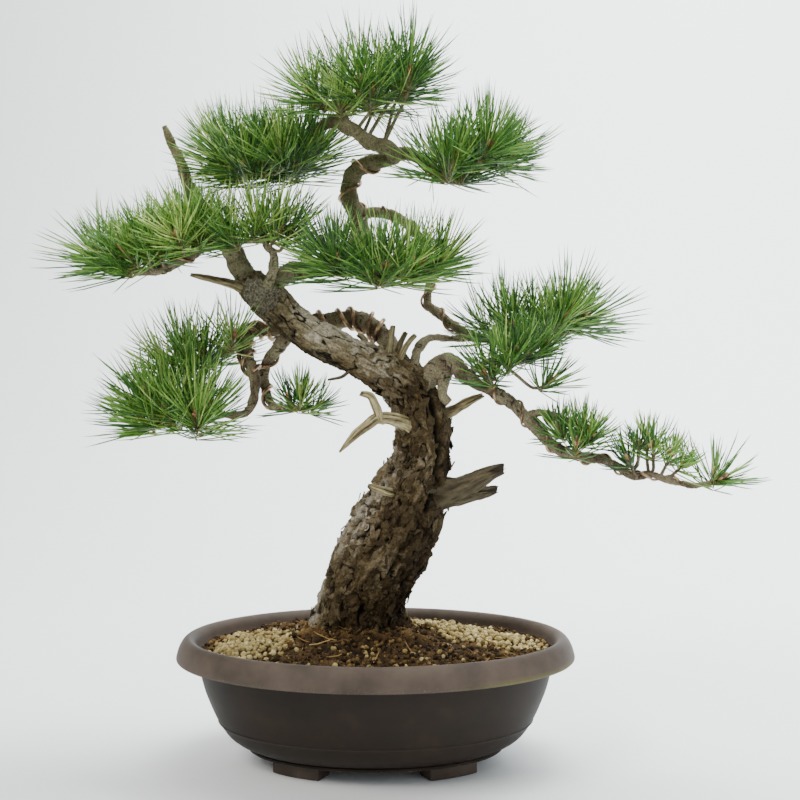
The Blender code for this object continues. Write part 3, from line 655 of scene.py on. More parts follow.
# %% Model one net and place one on each side
def add_net(node):
    """A net over the space of one CAD sheet."""
    low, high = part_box(node)
    bpy.ops.object.select_all(action="DESELECT")
    bpy.ops.mesh.primitive_grid_add(x_subdivisions=11, y_subdivisions=11, size=1)
    net = bpy.context.object
    net.name = node.replace("drainage_mesh", "net")
    net.location = ((low.x + high.x) / 2, 0, low.z + 0.0001)
    net.scale = (high.x - low.x, high.y - low.y, 1)
    settle(net)
    bpy.ops.object.mode_set(mode="EDIT")
    bpy.ops.mesh.select_mode(type="FACE")
    bpy.ops.mesh.select_all(action="SELECT")
    bpy.ops.mesh.inset(thickness=0.0006, depth=0, use_individual=True)
    bpy.ops.mesh.delete(type="FACE")
    bpy.ops.object.mode_set(mode="OBJECT")
    thick = net.modifiers.new("thick", "SOLIDIFY")
    thick.thickness, thick.offset = 0.0010, 1
    bpy.ops.object.modifier_apply(modifier="thick")
    return finish_piece(net, NET_PLASTIC, "mesh_plastic", node)


for node in ("drainage_mesh_left", "drainage_mesh_right"):
    print(node, len(add_net(node).data.polygons), "faces")

# %% [markdown]
# ## Soil
# Compost settles level at the wall and rises in a mound to the foot of the trunk. A grid is
# pressed into the oval, lifted to that shape and roughened in code, because crumbs have no
# outline that could be drawn. Its edge is then extruded down and closed, so it is a solid fill.

# %% Height of the soil
SOIL_LEVEL = POT_TOP - 0.0145
MOUND_RISE, MOUND_RADIUS = 0.021, 0.105
SOIL_EDGE_INSET = 0.0227
TREE_FOOT = Vector((POT_X - 0.016, 0.034, SOIL_LEVEL + MOUND_RISE))


def soil_height(x, y):
    """Top of the soil at a place, without its crumbs."""
    away = math.hypot(x - TREE_FOOT.x, y - TREE_FOOT.y) / MOUND_RADIUS
    uneven = 0.0010 * math.sin(55 * (x - POT_X) + 1) * math.cos(70 * y)
    return SOIL_LEVEL + MOUND_RISE * math.exp(-1.6 * away ** 2) + uneven


def clod(x, y):
    """Lumps of three sizes on the soil, in metres."""
    coarse = noise.fractal(Vector((x, y, 0.3)) / 0.024, 0.9, 2.0, 4) * 0.0030
    cells, _ = noise.voronoi(Vector((x, y, 0.7)) / 0.0065)
    rough = 1 + 0.9 * math.exp(-((math.hypot(x - TREE_FOOT.x, y - TREE_FOOT.y) - 0.055) / 0.03) ** 2)
    return rough * (coarse + 0.0030 * max(0.0, 0.75 - cells[0]) - 0.0008)


# %% Press a grid into the oval
soil_half = oval_size(SOIL_EDGE_INSET - 0.0006)
bpy.ops.object.select_all(action="DESELECT")
bpy.ops.mesh.primitive_grid_add(x_subdivisions=230, y_subdivisions=180, size=2)
soil = bpy.context.object
soil.name = "soil_fill"
tints = []
for vertex in soil.data.vertices:
    u, v = vertex.co.x, vertex.co.y
    x = POT_X + soil_half[0] * u * math.sqrt(1 - v * v / 2)
    y = soil_half[1] * v * math.sqrt(1 - u * u / 2)
    lump = clod(x, y)
    vertex.co = (x, y, soil_height(x, y) + lump)
    tints.append(0.24 + 90 * lump + 0.30 * noise.noise(Vector((x, y, 0)) / 0.012))
bpy.ops.object.mode_set(mode="EDIT")
bpy.ops.mesh.select_all(action="SELECT")
bpy.ops.mesh.region_to_loop()
bpy.ops.mesh.extrude_region_move(TRANSFORM_OT_translate={"value": (0, 0, -0.03)})
bpy.ops.transform.resize(value=(0.90, 0.90, 1), center_override=(POT_X, 0, 0.07))
bpy.ops.mesh.edge_face_add()
bpy.ops.mesh.select_all(action="SELECT")
bpy.ops.mesh.normals_make_consistent(inside=False)
bpy.ops.object.mode_set(mode="OBJECT")


def give_numbers(piece, name, values):
    """Store one number for each point of a mesh, for a material to read."""
    layer = piece.data.attributes.new(name, "FLOAT", "POINT")
    padded = np.zeros(len(piece.data.vertices), np.float32)
    padded[:len(values)] = values
    layer.data.foreach_set("value", padded)


give_numbers(soil, "tint", tints)
finish_piece(soil, SOIL, "soil", "soil", angle=60)
print("soil", len(soil.data.polygons), "faces")

# %% [markdown]
# ## Copies
# Crumbs, grains, bark flakes, buds and needles each repeat hundreds of times. One shape is
# modelled, and a function writes a mesh with a copy of it at every place it is given. A copy is
# turned and sized by its own matrix and carries its own tint, so no two look the same.

# %% Shapes to copy
def read_shape(piece, reach=None):
    """Turn a modelled object into plain numbers and remove the object."""
    only(piece)
    bpy.ops.object.mode_set(mode="EDIT")
    bpy.ops.mesh.select_all(action="SELECT")
    bpy.ops.mesh.normals_make_consistent(inside=False)
    bpy.ops.mesh.quads_convert_to_tris()
    bpy.ops.object.mode_set(mode="OBJECT")
    points = np.array([v.co[:] for v in piece.data.vertices])
    faces = np.array([p.vertices[:] for p in piece.data.polygons])
    along = points[:, 2] - points[:, 2].min()
    share = along / max(along.max(), 1e-9)
    bpy.data.objects.remove(piece)
    return points, faces, share if reach is None else np.full(len(points), reach)


def write_copies(name, shapes, places, which, tints):
    """One mesh with a copy of shapes[which[i]] at every matrix places[i]."""
    places, which, tints = np.asarray(places), np.asarray(which), np.asarray(tints)
    points, faces, shares, tones, start = [], [], [], [], 0
    for k, (shape, corners, share) in enumerate(shapes):
        chosen = places[which == k]
        if not len(chosen):
            continue
        moved = np.einsum("nij,vj->nvi", chosen[:, :3, :3], shape) + chosen[:, None, :3, 3]
        points.append(moved.reshape(-1, 3))
        shift = start + np.arange(len(chosen)) * len(shape)
        faces.append((corners[None] + shift[:, None, None]).reshape(-1, 3))
        shares.append(np.tile(share, len(chosen)))
        tones.append(np.repeat(tints[which == k], len(shape)))
        start += len(chosen) * len(shape)
    points, faces = np.concatenate(points), np.concatenate(faces)
    mesh = bpy.data.meshes.new(name)
    mesh.vertices.add(len(points))
    mesh.vertices.foreach_set("co", points.ravel().astype(np.float32))
    mesh.loops.add(len(faces) * 3)
    mesh.loops.foreach_set("vertex_index", faces.ravel().astype(np.int32))
    mesh.polygons.add(len(faces))
    mesh.polygons.foreach_set("loop_start", np.arange(0, len(faces) * 3, 3, dtype=np.int32))
    mesh.update(calc_edges=True)
    made = bpy.data.objects.new(name, mesh)
    SCENE.collection.objects.link(made)
    give_numbers(made, "tint", np.concatenate(tones))
    give_numbers(made, "reach", np.concatenate(shares))
    return made


def placed(place, along, across, size):
    """A 4 by 4 matrix: z runs along, x towards across, with three sizes."""
    z = np.asarray(along, float)
    z = z / np.linalg.norm(z)
    x = np.asarray(across, float)
    x = x - z * x.dot(z)
    x = x / max(np.linalg.norm(x), 1e-9)
    matrix = np.eye(4)
    matrix[:3, 0], matrix[:3, 1], matrix[:3, 2] = x * size[0], np.cross(z, x) * size[1], z * size[2]
    matrix[:3, 3] = place
    return matrix


def any_direction(count=1):
    """Random directions, all equally likely."""
    arrows = RANDOM.normal(size=(count, 3))
    return arrows / np.linalg.norm(arrows, axis=1)[:, None]


def lump_shape(seed, cuts=1):
    """A rough pebble one metre across, from an icosphere with its points pushed about."""
    bpy.ops.object.select_all(action="DESELECT")
    bpy.ops.mesh.primitive_ico_sphere_add(subdivisions=cuts, radius=0.5)
    lump = bpy.context.object
    for vertex in lump.data.vertices:
        vertex.co *= 1 + 0.35 * noise.noise(vertex.co * 2.3 + Vector((seed * 3.1, 0, 0)))
    return read_shape(lump)


LUMPS = [lump_shape(k) for k in range(5)]
FINE_LUMPS = [lump_shape(k, 2) for k in range(5, 8)]
print("lump faces", [len(f) for _, f, _ in LUMPS + FINE_LUMPS])

# %% [markdown]
# ## Crumbs and grit
# Loose crumbs lie all over the compost. Two patches of cream grit show where it was top-dressed,
# one at the left wall and a larger one at the right rear.

# %% Scatter soil crumbs
def inside_pot(x, y, margin):
    """Whether a place on the soil is at least margin from the wall."""
    return ((x - POT_X) / (soil_half[0] - margin)) ** 2 + (y / (soil_half[1] - margin)) ** 2 < 1


def lie_on_soil(x, y, size, flat=0.75):
    """The matrix of a lump that lies half sunk in the soil."""
    arrow, side = any_direction(2)
    place = (x, y, soil_height(x, y) + clod(x, y) + size * 0.22)
    sizes = (size, size * RANDOM.uniform(flat, 1.0), size * RANDOM.uniform(flat, 1.1))
    return placed(place, arrow, side, sizes)


# Middle (x, y from the pot's centre), half sizes and lean of each grit patch.
HOLLOW = oval_size(SOIL_EDGE_INSET)
GRIT_PATCHES = {
    "grit_left": ((-0.70, -0.08), (0.38, 0.20), 1.50),
    "grit_right": ((0.54, 0.36), (0.46, 0.19), -0.785),
}


def grit_share(x, y, patch):
    """0 at the middle of a grit patch, 1 at its edge."""
    middle, half, lean = GRIT_PATCHES[patch]
    dx, dy = (x - POT_X) / HOLLOW[0] - middle[0], y / HOLLOW[1] - middle[1]
    along = (dx * math.cos(lean) + dy * math.sin(lean)) / half[0]
    across = (-dx * math.sin(lean) + dy * math.cos(lean)) / half[1]
    return math.hypot(along, across)


CRUMB_COUNT = 4200
places, tints = [], []
while len(places) < CRUMB_COUNT:
    x, y = POT_X + RANDOM.uniform(-1, 1) * soil_half[0], RANDOM.uniform(-1, 1) * soil_half[1]
    if not inside_pot(x, y, 0.001):
        continue
    if math.hypot(x - TREE_FOOT.x, y - TREE_FOOT.y) < 0.036:
        continue
    if min(grit_share(x, y, patch) for patch in GRIT_PATCHES) < 0.85:
        continue
    size = 0.0012 + 0.0048 * RANDOM.random() ** 3.0
    places.append(lie_on_soil(x, y, size))
    tints.append(RANDOM.random() ** 1.9)
crumbs = write_copies("soil_crumbs", LUMPS, places, RANDOM.integers(0, 5, len(places)), tints)
finish_piece(crumbs, SOIL, "soil", angle=0)
print("crumbs", len(places))

# %% Scatter grit
# How far past a patch's edge its grains stray, as a share of the patch; how far outside its box
# they are looked for; and how many lie on a square metre.
STRAY = {"grit_left": 1.25, "grit_right": 1.7}
SPILL = 0.018
GRAIN_DENSITY = 54000
MOST_TRIES = 60000
for patch in GRIT_PATCHES:
    places, tints = [], []
    low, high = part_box(patch)
    wanted = int((high.x - low.x) * (high.y - low.y) * GRAIN_DENSITY)
    tries = 0
    while len(places) < wanted and tries < MOST_TRIES:
        tries += 1
        x = RANDOM.uniform(low.x - SPILL, high.x + SPILL)
        y = RANDOM.uniform(low.y - SPILL, high.y + SPILL)
        share = grit_share(x, y, patch)
        if not inside_pot(x, y, 0.002) or share > STRAY[patch] or RANDOM.random() < (share - 0.75) * 1.6:
            continue
        size = RANDOM.uniform(0.0030, 0.0068)
        pile = 0.0060 * max(0.0, 1 - share ** 2) * RANDOM.random()
        matrix = lie_on_soil(x, y, size)
        matrix[2, 3] += pile
        places.append(matrix)
        tints.append(RANDOM.beta(3, 2))
    grains = write_copies(patch + "_grains", FINE_LUMPS, places, RANDOM.integers(0, 3, len(places)), tints)
    finish_piece(grains, GRIT, "grit", patch, angle=50)
    print(patch, "grains", len(places))

# %% Scatter stray stones in front of the trunk
STRAY_STONES = 34
places = []
while len(places) < STRAY_STONES:
    x, y = POT_X + RANDOM.normal(0.045, 0.055), RANDOM.uniform(-0.118, -0.040)
    if inside_pot(x, y, 0.006):
        places.append(lie_on_soil(x, y, RANDOM.uniform(0.0024, 0.0062)))
stones = write_copies("stray_stones", FINE_LUMPS, places, RANDOM.integers(0, 3, len(places)),
                      RANDOM.beta(3, 2, len(places)))
finish_piece(stones, GRIT, "grit", angle=50)
print("stray stones", len(places))

# %% [markdown]
# ## Wood
# A limb is a route of points with a thickness at each. A curve with a round bevel is drawn through
# the points and converted to a mesh, ring by ring, and bark is then raised on it in code: every
# point moves out or in by a pattern of plates that runs along the limb. Blender's own displacement
# can't follow the growth of a bent limb, and this can.

# %% Routes
TRUNK = (
    (-3, 2, -19, 46), (0, 0, 0, 43.5), (3, -4, 28, 40.5), (15, -9, 59, 42.5), (32, -15, 91, 42.5),
    (44, -19, 114, 40), (53, -23, 142, 33), (61, -26, 167, 26), (63, -29, 192, 26),
    (58, -32, 217, 25), (45, -34, 239, 23.5), (26, -36, 254, 21), (2, -37, 265, 18.5),
    (-22, -36, 276, 17.5), (-48, -33, 290, 17), (-70, -29, 305, 17), (-88, -25, 322, 18),
    (-103, -21, 336, 17), (-112, -18, 347, 14),
)

BRANCHES = {
    "leader": (
        (-109, -19, 340, 11), (-121, -14, 360, 10.5), (-132, -11, 380, 9), (-150, -9, 405, 7.5),
        (-160, -9, 421, 6.5), (-173, -10, 441, 5.5), (-181, -13, 466, 5), (-190, -16, 484, 4),
        (-197, -19, 501, 2)),
    "crown_stem": (
        (-93, -18, 332, 9.5), (-81, 0, 351, 9), (-64, 16, 360, 9), (-44, 26, 362, 8.5),
        (-25, 30, 371, 8.5), (-10, 28, 384, 8.5), (-2, 23, 400, 8.5), (-4, 18, 417, 8.5),
        (-11, 13, 431, 8.5), (-12, 9, 446, 8), (-5, 4, 460, 8), (9, -4, 466, 8),
        (25, -12, 468, 7.5), (38, -20, 472, 6)),
    "crown_top_branch": (
        (36, -19, 471, 6), (28, -34, 476, 7), (14, -42, 479, 7), (-2, -48, 488, 6.5),
        (-13, -50, 496, 5.5), (-18, -48, 507, 4.5), (-21, -44, 521, 3.5), (-18, -42, 538, 2.5)),
    "crown_left_branch": (
        (-9, -48, 492, 5), (-22, -38, 501, 5.5), (-36, -22, 501, 5), (-49, -12, 491, 4),
        (-62, -8, 480, 3.5), (-84, -6, 464, 2.5)),
    "crown_right_branch": (
        (28, -12, 470, 6), (45, -12, 475, 6), (58, -18, 469, 5), (73, -28, 457, 4.5),
        (87, -36, 445, 4), (101, -41, 443, 3.5), (114, -44, 450, 3), (128, -46, 461, 2)),
    "arching_branch": (
        (-3, 19, 416, 5), (13, 14, 419, 5), (35, 8, 414, 4.5), (51, 8, 403, 4.5),
        (64, 10, 388, 4), (73, 12, 367, 4), (71, 12, 346, 4), (68, 8, 326, 4), (80, 2, 314, 4.5),
        (96, -6, 300, 4.5), (114, -16, 291, 4), (134, -26, 287, 3.5), (151, -34, 288, 3)),
    "centre_branch": (
        (-22, 28, 371, 5.5), (-10, 4, 362, 5.5), (4, -22, 352, 5), (15, -50, 344, 4),
        (23, -70, 347, 3.5), (26, -80, 356, 2.5)),
    "centre_left_branch": (
        (-96, -24, 333, 5), (-85, -40, 356, 4.5), (-84, -48, 369, 3.5), (-90, -58, 377, 3.5),
        (-94, -64, 386, 2.5)),
    "upper_left_branch": (
        (-126, -12, 370, 7.5), (-134, -26, 381, 7), (-150, -38, 380, 5.5), (-166, -48, 369, 5),
        (-187, -52, 356, 4.5), (-211, -52, 352, 3.5), (-231, -50, 358, 3), (-251, -48, 368, 2.5)),
    "back_branch": (
        (44, -30, 254, 9), (32, -14, 279, 8.5), (15, 0, 299, 9), (-5, 10, 309, 8),
        (-22, 14, 308, 8), (-41, 18, 307, 7.5), (-60, 22, 307, 7), (-77, 24, 303, 6.5),
        (-91, 22, 298, 6.5), (-106, 16, 298, 6), (-117, 8, 290, 6), (-117, -2, 276, 5.5),
        (-111, -14, 261, 5.5), (-105, -24, 247, 5), (-105, -28, 231, 4), (-112, -32, 215, 3.5),
        (-125, -40, 211, 3), (-143, -48, 214, 2.5), (-170, -54, 219, 2)),
    "left_back_twig": (
        (-114, 6, 290, 3), (-126, 8, 283, 3), (-142, 8, 274, 2.5), (-162, 8, 272, 2)),
    "inner_left_branch": (
        (-66, -28, 300, 6.5), (-81, -10, 281, 6), (-92, 0, 270, 5.5), (-98, 6, 257, 5),
        (-99, 6, 243, 4.5), (-94, -4, 227, 4), (-85, -16, 219, 3.5), (-70, -28, 217, 3),
        (-56, -36, 219, 2.5), (-43, -42, 218, 2)),
    "right_branch": (
        (54, -32, 233, 11.5), (73, -40, 254, 10.5), (86, -46, 263, 9), (95, -52, 259, 8),
        (104, -58, 250, 7), (115, -62, 242, 6), (132, -67, 234, 6), (153, -72, 218, 5.5),
        (178, -76, 191, 5), (193, -78, 179, 5), (214, -80, 172, 4.5), (232, -82, 170, 4),
        (247, -84, 163, 4), (264, -86, 154, 3.5), (279, -88, 156, 3), (294, -90, 151, 3),
        (314, -92, 146, 2.5), (334, -94, 148, 2)),
    "right_lower_twig": (
        (106, -60, 249, 3.5), (112, -72, 256, 3), (120, -82, 262, 2.5), (130, -90, 266, 2)),
    "cascade_branchlet": (
        (160, -73, 210, 3.5), (173, -80, 214, 3), (188, -86, 212, 2.5), (208, -92, 204, 2.5),
        (226, -94, 196, 2)),
    "dark_branch": (
        (53, -41, 249, 5), (56, -41, 272, 4.5), (63, -37, 283, 4), (73, -34, 288, 3.5),
        (91, -34, 287, 3), (110, -40, 288, 2.5)),
    "hooked_stub": (
        (86, -46, 259, 5), (83, -47, 243, 5), (82, -47, 230, 4.5), (88, -48, 223, 3.5)),
}

DEAD_LIMBS = {
    "forked_jin": (
        (51, -44, 200, 7), (40, -60, 206, 6), (28, -70, 209, 5.5), (18, -76, 209, 5),
        (9, -80, 203, 4.5), (-2, -84, 194, 3.8), (-17, -88, 178, 1)),
    "upper_right_jin": (
        (77, -30, 210, 5.5), (91, -36, 215, 5), (107, -38, 224, 4), (122, -36, 231, 2)),
    "split_jin": (
        (68, -26, 129, 15), (89, -28, 133, 13.5), (105, -32, 140, 10), (123, -36, 150, 7.5),
        (141, -38, 158, 5)),
    "lower_left_jin": (
        (42, -38, 131, 4.5), (26, -56, 137, 3.5), (19, -62, 140, 3), (11, -65, 143, 2)),
    "left_spike": (
        (-112, -24, 336, 5), (-129, -32, 342, 4), (-152, -37, 347, 3), (-167, -39, 350, 1.5)),
    "rear_stub": ((27, -42, 263, 4), (31, -46, 286, 3), (33, -48, 299, 2.5)),
    "middle_stub": ((34, -37, 262, 3), (41, -40, 283, 2.5), (46, -41, 293, 2)),
    "front_stub": ((37, -46, 259, 3), (46, -52, 279, 2.5), (55, -53, 290, 2)),
    "thin_twig": ((-8, -42, 257, 2), (-17, -54, 249, 1.5), (-30, -58, 246, 1)),
    "knot": ((8, -34, 270, 4), (4, -32, 286, 3), (-2, -30, 291, 2)),
}
PRONGS = {
    "forked_jin": ((24, -73, 209, 4.5), (21, -75, 208, 4.2), (18, -80, 218, 3.8),
                    (12, -82, 230, 3.2), (3, -84, 233, 2.2)),
    "split_jin": ((92, -28, 129, 9), (102, -28, 130, 8), (122, -24, 133, 5.5), (136, -22, 136, 3.5)),
}
print("limbs", len(BRANCHES) + len(DEAD_LIMBS))

# %% Draw a smooth tube through a route
def to_route(points):
    """Points in millimetres from the tree's foot, as (place, radius) in metres."""
    return [(TREE_FOOT + Vector((x, y, z)) * MM, r * MM) for x, y, z, r in points]


def finer(route, spacing):
    """The same route on a smooth curve, with a point about every spacing metres."""
    result = []
    last = len(route) - 1
    for i in range(last):
        before, start, end, after = (route[max(i - 1, 0)], route[i], route[i + 1],
                                     route[min(i + 2, last)])
        cuts = max(2, round((end[0] - start[0]).length / spacing))
        for k in range(cuts):
            t = k / cuts
            place = 0.5 * (2 * start[0] + (end[0] - before[0]) * t
                           + (2 * before[0] - 5 * start[0] + 4 * end[0] - after[0]) * t ** 2
                           + (3 * start[0] - before[0] - 3 * end[0] + after[0]) * t ** 3)
            result.append((place, start[1] + (end[1] - start[1]) * t))
    result.append(route[-1])
    return result


def ring_curve(sides):
    """A circle of radius 1 with a set number of points, which a tube is drawn with."""
    curve = bpy.data.curves.new("ring", "CURVE")
    spline = curve.splines.new("POLY")
    spline.points.add(sides - 1)
    for k, point in enumerate(spline.points):
        turn = 2 * math.pi * k / sides
        point.co = (math.cos(turn), math.sin(turn), 0, 1)
    spline.use_cyclic_u = True
    ring = bpy.data.objects.new("ring", curve)
    SCENE.collection.objects.link(ring)
    return ring


def draw_tube(name, route, sides):
    """A closed round tube; its points come ring by ring, sides to a ring."""
    curve = bpy.data.curves.new(name, "CURVE")
    curve.dimensions, curve.twist_mode = "3D", "MINIMUM"
    spline = curve.splines.new("POLY")
    spline.points.add(len(route) - 1)
    for point, (place, radius) in zip(spline.points, route):
        point.co = (*place, 1)
        point.radius = radius
    ring = ring_curve(sides)
    curve.bevel_mode, curve.bevel_object = "OBJECT", ring
    made = bpy.data.objects.new(name, curve)
    SCENE.collection.objects.link(made)
    only(made)
    bpy.ops.object.convert(target="MESH")
    made = bpy.context.object
    bpy.data.objects.remove(ring)
    if len(made.data.vertices) != sides * len(route):
        raise ValueError(f"{name}: {len(made.data.vertices)} points, not {sides} x {len(route)}")
    bpy.ops.object.mode_set(mode="EDIT")
    bpy.ops.mesh.select_all(action="SELECT")
    bpy.ops.mesh.fill_holes(sides=0)
    bpy.ops.mesh.normals_make_consistent(inside=False)
    bpy.ops.object.mode_set(mode="OBJECT")
    return made


def lengths_of(route):
    """Distance along a route to each of its points."""
    result = [0.0]
    for (a, _), (b, _) in zip(route, route[1:]):
        result.append(result[-1] + (b - a).length)
    return result


# %% Raise bark on a tube
def chance(point, salt=0.0):
    """A number from 0 to 1 that belongs to one cell of a pattern."""
    value = math.sin(point[0] * 127.1 + point[1] * 311.7 + point[2] * 74.7 + salt) * 43758.5453
    return value - math.floor(value)


def soft_step(value, width):
    """0 below zero, 1 above width, smooth between."""
    share = min(max(value / width, 0.0), 1.0)
    return share * share * (3 - 2 * share)


def bark_pattern(spot, size, stretch, layers=6.0):
    """Layered bark: returns height 0 to 1, how light it is, and a number for its colour.

    Bark grows in thin layers that flake off, so smooth noise is cut into steps, like a map's
    contours. Fissures run where a second noise passes through zero.
    """
    place = Vector((spot[0] / size, spot[1] / size, spot[2] / size * stretch))
    warp = noise.noise_vector(place * 1.3)
    place += 0.55 * warp
    level = (noise.fractal(place, 0.75, 2.1, 4) + 1.0) * layers / 2
    level += 0.30 * noise.noise(place * 6.0)
    step = math.floor(level)
    rise = soft_step(level - step, 0.22)
    slope = 0.35 * (level - step)
    crack = abs(noise.noise(place * 0.62 + Vector((7.7, 1.3, 4.1))) + 0.25 * noise.noise(place * 2.3))
    fissure = 1 - soft_step(crack, 0.11)
    height = (step + rise + slope) / layers
    number = 0.5 + 0.42 * noise.noise(place * 0.33) + 0.34 * (chance((step, 0, 0)) - 0.5)
    number += 0.25 * noise.noise(place * 2.9)
    # Painted shade: fissures and the foot of each step come out dark, the risen plates light.
    light = (1 - 0.92 * fissure) * (0.42 + 0.58 * rise)
    return height * (1 - 0.6 * fissure), light, min(max(number, 0.0), 1.0)


def push_points(piece, route, sides, move):
    """Move every point of a tube by move(length, turn, radius, centre, point); keeps its answers."""
    lengths = lengths_of(route)
    answers = []
    for ring, (centre, radius) in enumerate(route):
        for k in range(sides):
            vertex = piece.data.vertices[ring * sides + k]
            out = vertex.co - centre
            if out.length < 1e-6:
                answers.append((0.5, 0.5))
                continue
            turn = 2 * math.pi * k / sides
            shift, relief_shade, plate = move(lengths[ring], turn, radius, centre, vertex.co)
            vertex.co = vertex.co + out.normalized() * shift
            answers.append((relief_shade, plate))
    return np.array(answers)


# %% [markdown]
# ## Trunk
# The lower trunk is as thick as a forearm and wears the oldest bark, in thick plates that overlap
# like shingles. Higher up the plates are thin and pale. A deep fissure, painted dark inside as shade,
# runs down its right-hand side, and at its top end an old saw cut faces forwards.

# %% Grow the trunk
TRUNK_SIDES = 216
trunk_route = finer(to_route(TRUNK), 0.0013)
trunk = draw_tube("trunk_bark", trunk_route, TRUNK_SIDES)
FISSURE = [TREE_FOOT + Vector((x, -40, z)) * MM
           for x, z in ((70, 236), (76, 200), (79, 170), (74, 140), (66, 118))]
CUT_MIDDLE = TREE_FOOT + Vector((-97, -22, 330)) * MM
CUT_PLANE_Y = CUT_MIDDLE.y - 0.0115


def fissure_share(point):
    """1 in the long fissure on the front right of the trunk, 0 away from it."""
    best = 1.0
    for a, b in zip(FISSURE, FISSURE[1:]):
        run = Vector((b.x - a.x, 0, b.z - a.z))
        off = Vector((point.x - a.x, 0, point.z - a.z))
        share = min(max(off.dot(run) / run.length_squared, 0), 1)
        best = min(best, (off - run * share).length)
    wobble = 0.0012 * noise.noise(point / 0.008)
    return math.exp(-((best + wobble) / 0.0034) ** 2)


def trunk_bark(length, turn, radius, centre, point):
    """How far one point of the trunk stands out, and how it is coloured."""
    spot = (radius * math.cos(turn), radius * math.sin(turn), length)
    young = min(max((length - 0.15) / 0.20, 0), 1)
    size = 0.0108 - 0.0014 * young
    height, relief_shade, plate = bark_pattern(spot, size, 0.46)
    depth = 0.0105 - 0.0062 * young
    swell = 0.0030 * noise.noise(Vector(spot) / 0.045)
    crumble = 0.0007 * noise.noise(Vector(spot) / 0.0024)
    shift = depth * (height - 0.48) + swell + crumble
    # Painted shade: raised plates are coloured lighter than sunken ones.
    relief_shade *= 0.75 + 0.5 * min(max(height, 0), 1)
    # The long fissure is cut in, and painted black inside as shade.
    if point.y < centre.y:
        gap = fissure_share(point)
        shift -= 0.0085 * gap
        relief_shade *= 1 - gap
    # Painted light: the left side, towards the key lamp, is coloured paler, the right side darker as shade,
    # and faces that point up paler still.
    out = (point - centre).normalized()
    painted_side_light = soft_step(-out.x - 0.30, 0.6) - 0.55 * soft_step(out.x - 0.2, 0.6)
    plate = 0.42 + (0.95 + 0.3 * young) * (plate - 0.5) + 0.24 * painted_side_light + (0.08 + 0.16 * young) * out.z
    plate = min(max(plate + 0.06 * young, 0), 1)
    near_soil = math.exp(-((length - 0.019) / 0.016) ** 2)
    shift += 0.0045 * near_soil * (0.6 + noise.noise(Vector((math.cos(turn) * 1.5, math.sin(turn) * 1.5, 0))))
    return shift, min(relief_shade, 1.0), plate


answers = push_points(trunk, trunk_route, TRUNK_SIDES, trunk_bark)
cut = np.zeros(len(answers))
for vertex in trunk.data.vertices:
    near = (Vector((vertex.co.x, 0, vertex.co.z)) - Vector((CUT_MIDDLE.x, 0, CUT_MIDDLE.z))).length
    ragged = 0.0190 + 0.0040 * noise.noise(vertex.co / 0.007)
    if near < ragged and vertex.co.y < CUT_PLANE_Y:
        grain = 0.0009 * noise.noise(Vector((vertex.co.x / 0.0012, 0, vertex.co.z / 0.010)))
        vertex.co.y = CUT_PLANE_Y + grain
        cut[vertex.index] = 1.0
give_numbers(trunk, "relief_shade", answers[:, 0])
give_numbers(trunk, "plate", answers[:, 1])
give_numbers(trunk, "cut", cut)
finish_piece(trunk, OLD_BARK, "bark", "trunk", angle=50)
print("trunk faces", len(trunk.data.polygons), "cut points", int(cut.sum()))

# %% [markdown]
# Thin flakes have come half loose from the plates and give the trunk its ragged outline. Six flakes
# are modelled, each a seven-sided chip, extruded and bent. Copies lie on the bark with one end
# lifted.

# %% Loose flakes of bark
def flake_shape(seed):
    """A thin chip one metre long, lying in the xz plane, its root at the origin."""
    bpy.ops.object.select_all(action="DESELECT")
    bpy.ops.mesh.primitive_circle_add(vertices=7, radius=0.5, fill_type="NGON", location=(0, 0, 0))
    flake = bpy.context.object
    bpy.ops.object.mode_set(mode="EDIT")
    bpy.ops.mesh.select_all(action="SELECT")
    bpy.ops.mesh.extrude_region_move(TRANSFORM_OT_translate={"value": (0, 0, 1.0)})
    bpy.ops.object.mode_set(mode="OBJECT")
    for vertex in flake.data.vertices:
        ragged = 1 + 1.1 * noise.noise(Vector((vertex.co.x * 3, vertex.co.y * 3, seed * 5.3)))
        wedge = 0.5 + vertex.co.y
        vertex.co = Vector((vertex.co.x * ragged, vertex.co.z * wedge, 0.5 + vertex.co.y * ragged))
    return read_shape(flake, 1.0)


FLAKES = [flake_shape(k) for k in range(6)]


def scatter_flakes(count):
    """Matrices and tints of flakes on the lower trunk."""
    rings = [i for i, length in enumerate(lengths_of(trunk_route)) if 0.028 < length < 0.30]
    places, tints = [], []
    for _ in range(count):
        ring = rings[int(RANDOM.random() ** 1.35 * (len(rings) - 1))]
        k = int(RANDOM.integers(0, TRUNK_SIDES))
        point = trunk.data.vertices[ring * TRUNK_SIDES + k].co
        out = np.array((point - trunk_route[ring][0]).normalized())
        along = np.array((trunk_route[ring + 1][0] - trunk_route[ring][0]).normalized())
        if fissure_share(point) > 0.2:
            continue
        turned = RANDOM.uniform(-0.9, 0.9)
        side = np.cross(along, out)
        run = along * math.cos(turned) + side * math.sin(turned)
        run = run * (1 if RANDOM.random() < 0.6 else -1)
        lifted = run + out * RANDOM.uniform(0.05, 0.38)
        across = np.cross(lifted, out)
        length = RANDOM.uniform(0.004, 0.0145)
        place = np.array(point) - run * length * 0.4 - out * 0.0004
        places.append(placed(place, lifted, across, (length * RANDOM.uniform(0.4, 0.8), 0.0013, length)))
        # Painted light: flakes on the left side get a paler tint, those on the right a darker one, as shade.
        tints.append(RANDOM.normal(0.40, 0.12) - 0.22 * out[0])
    return places, tints


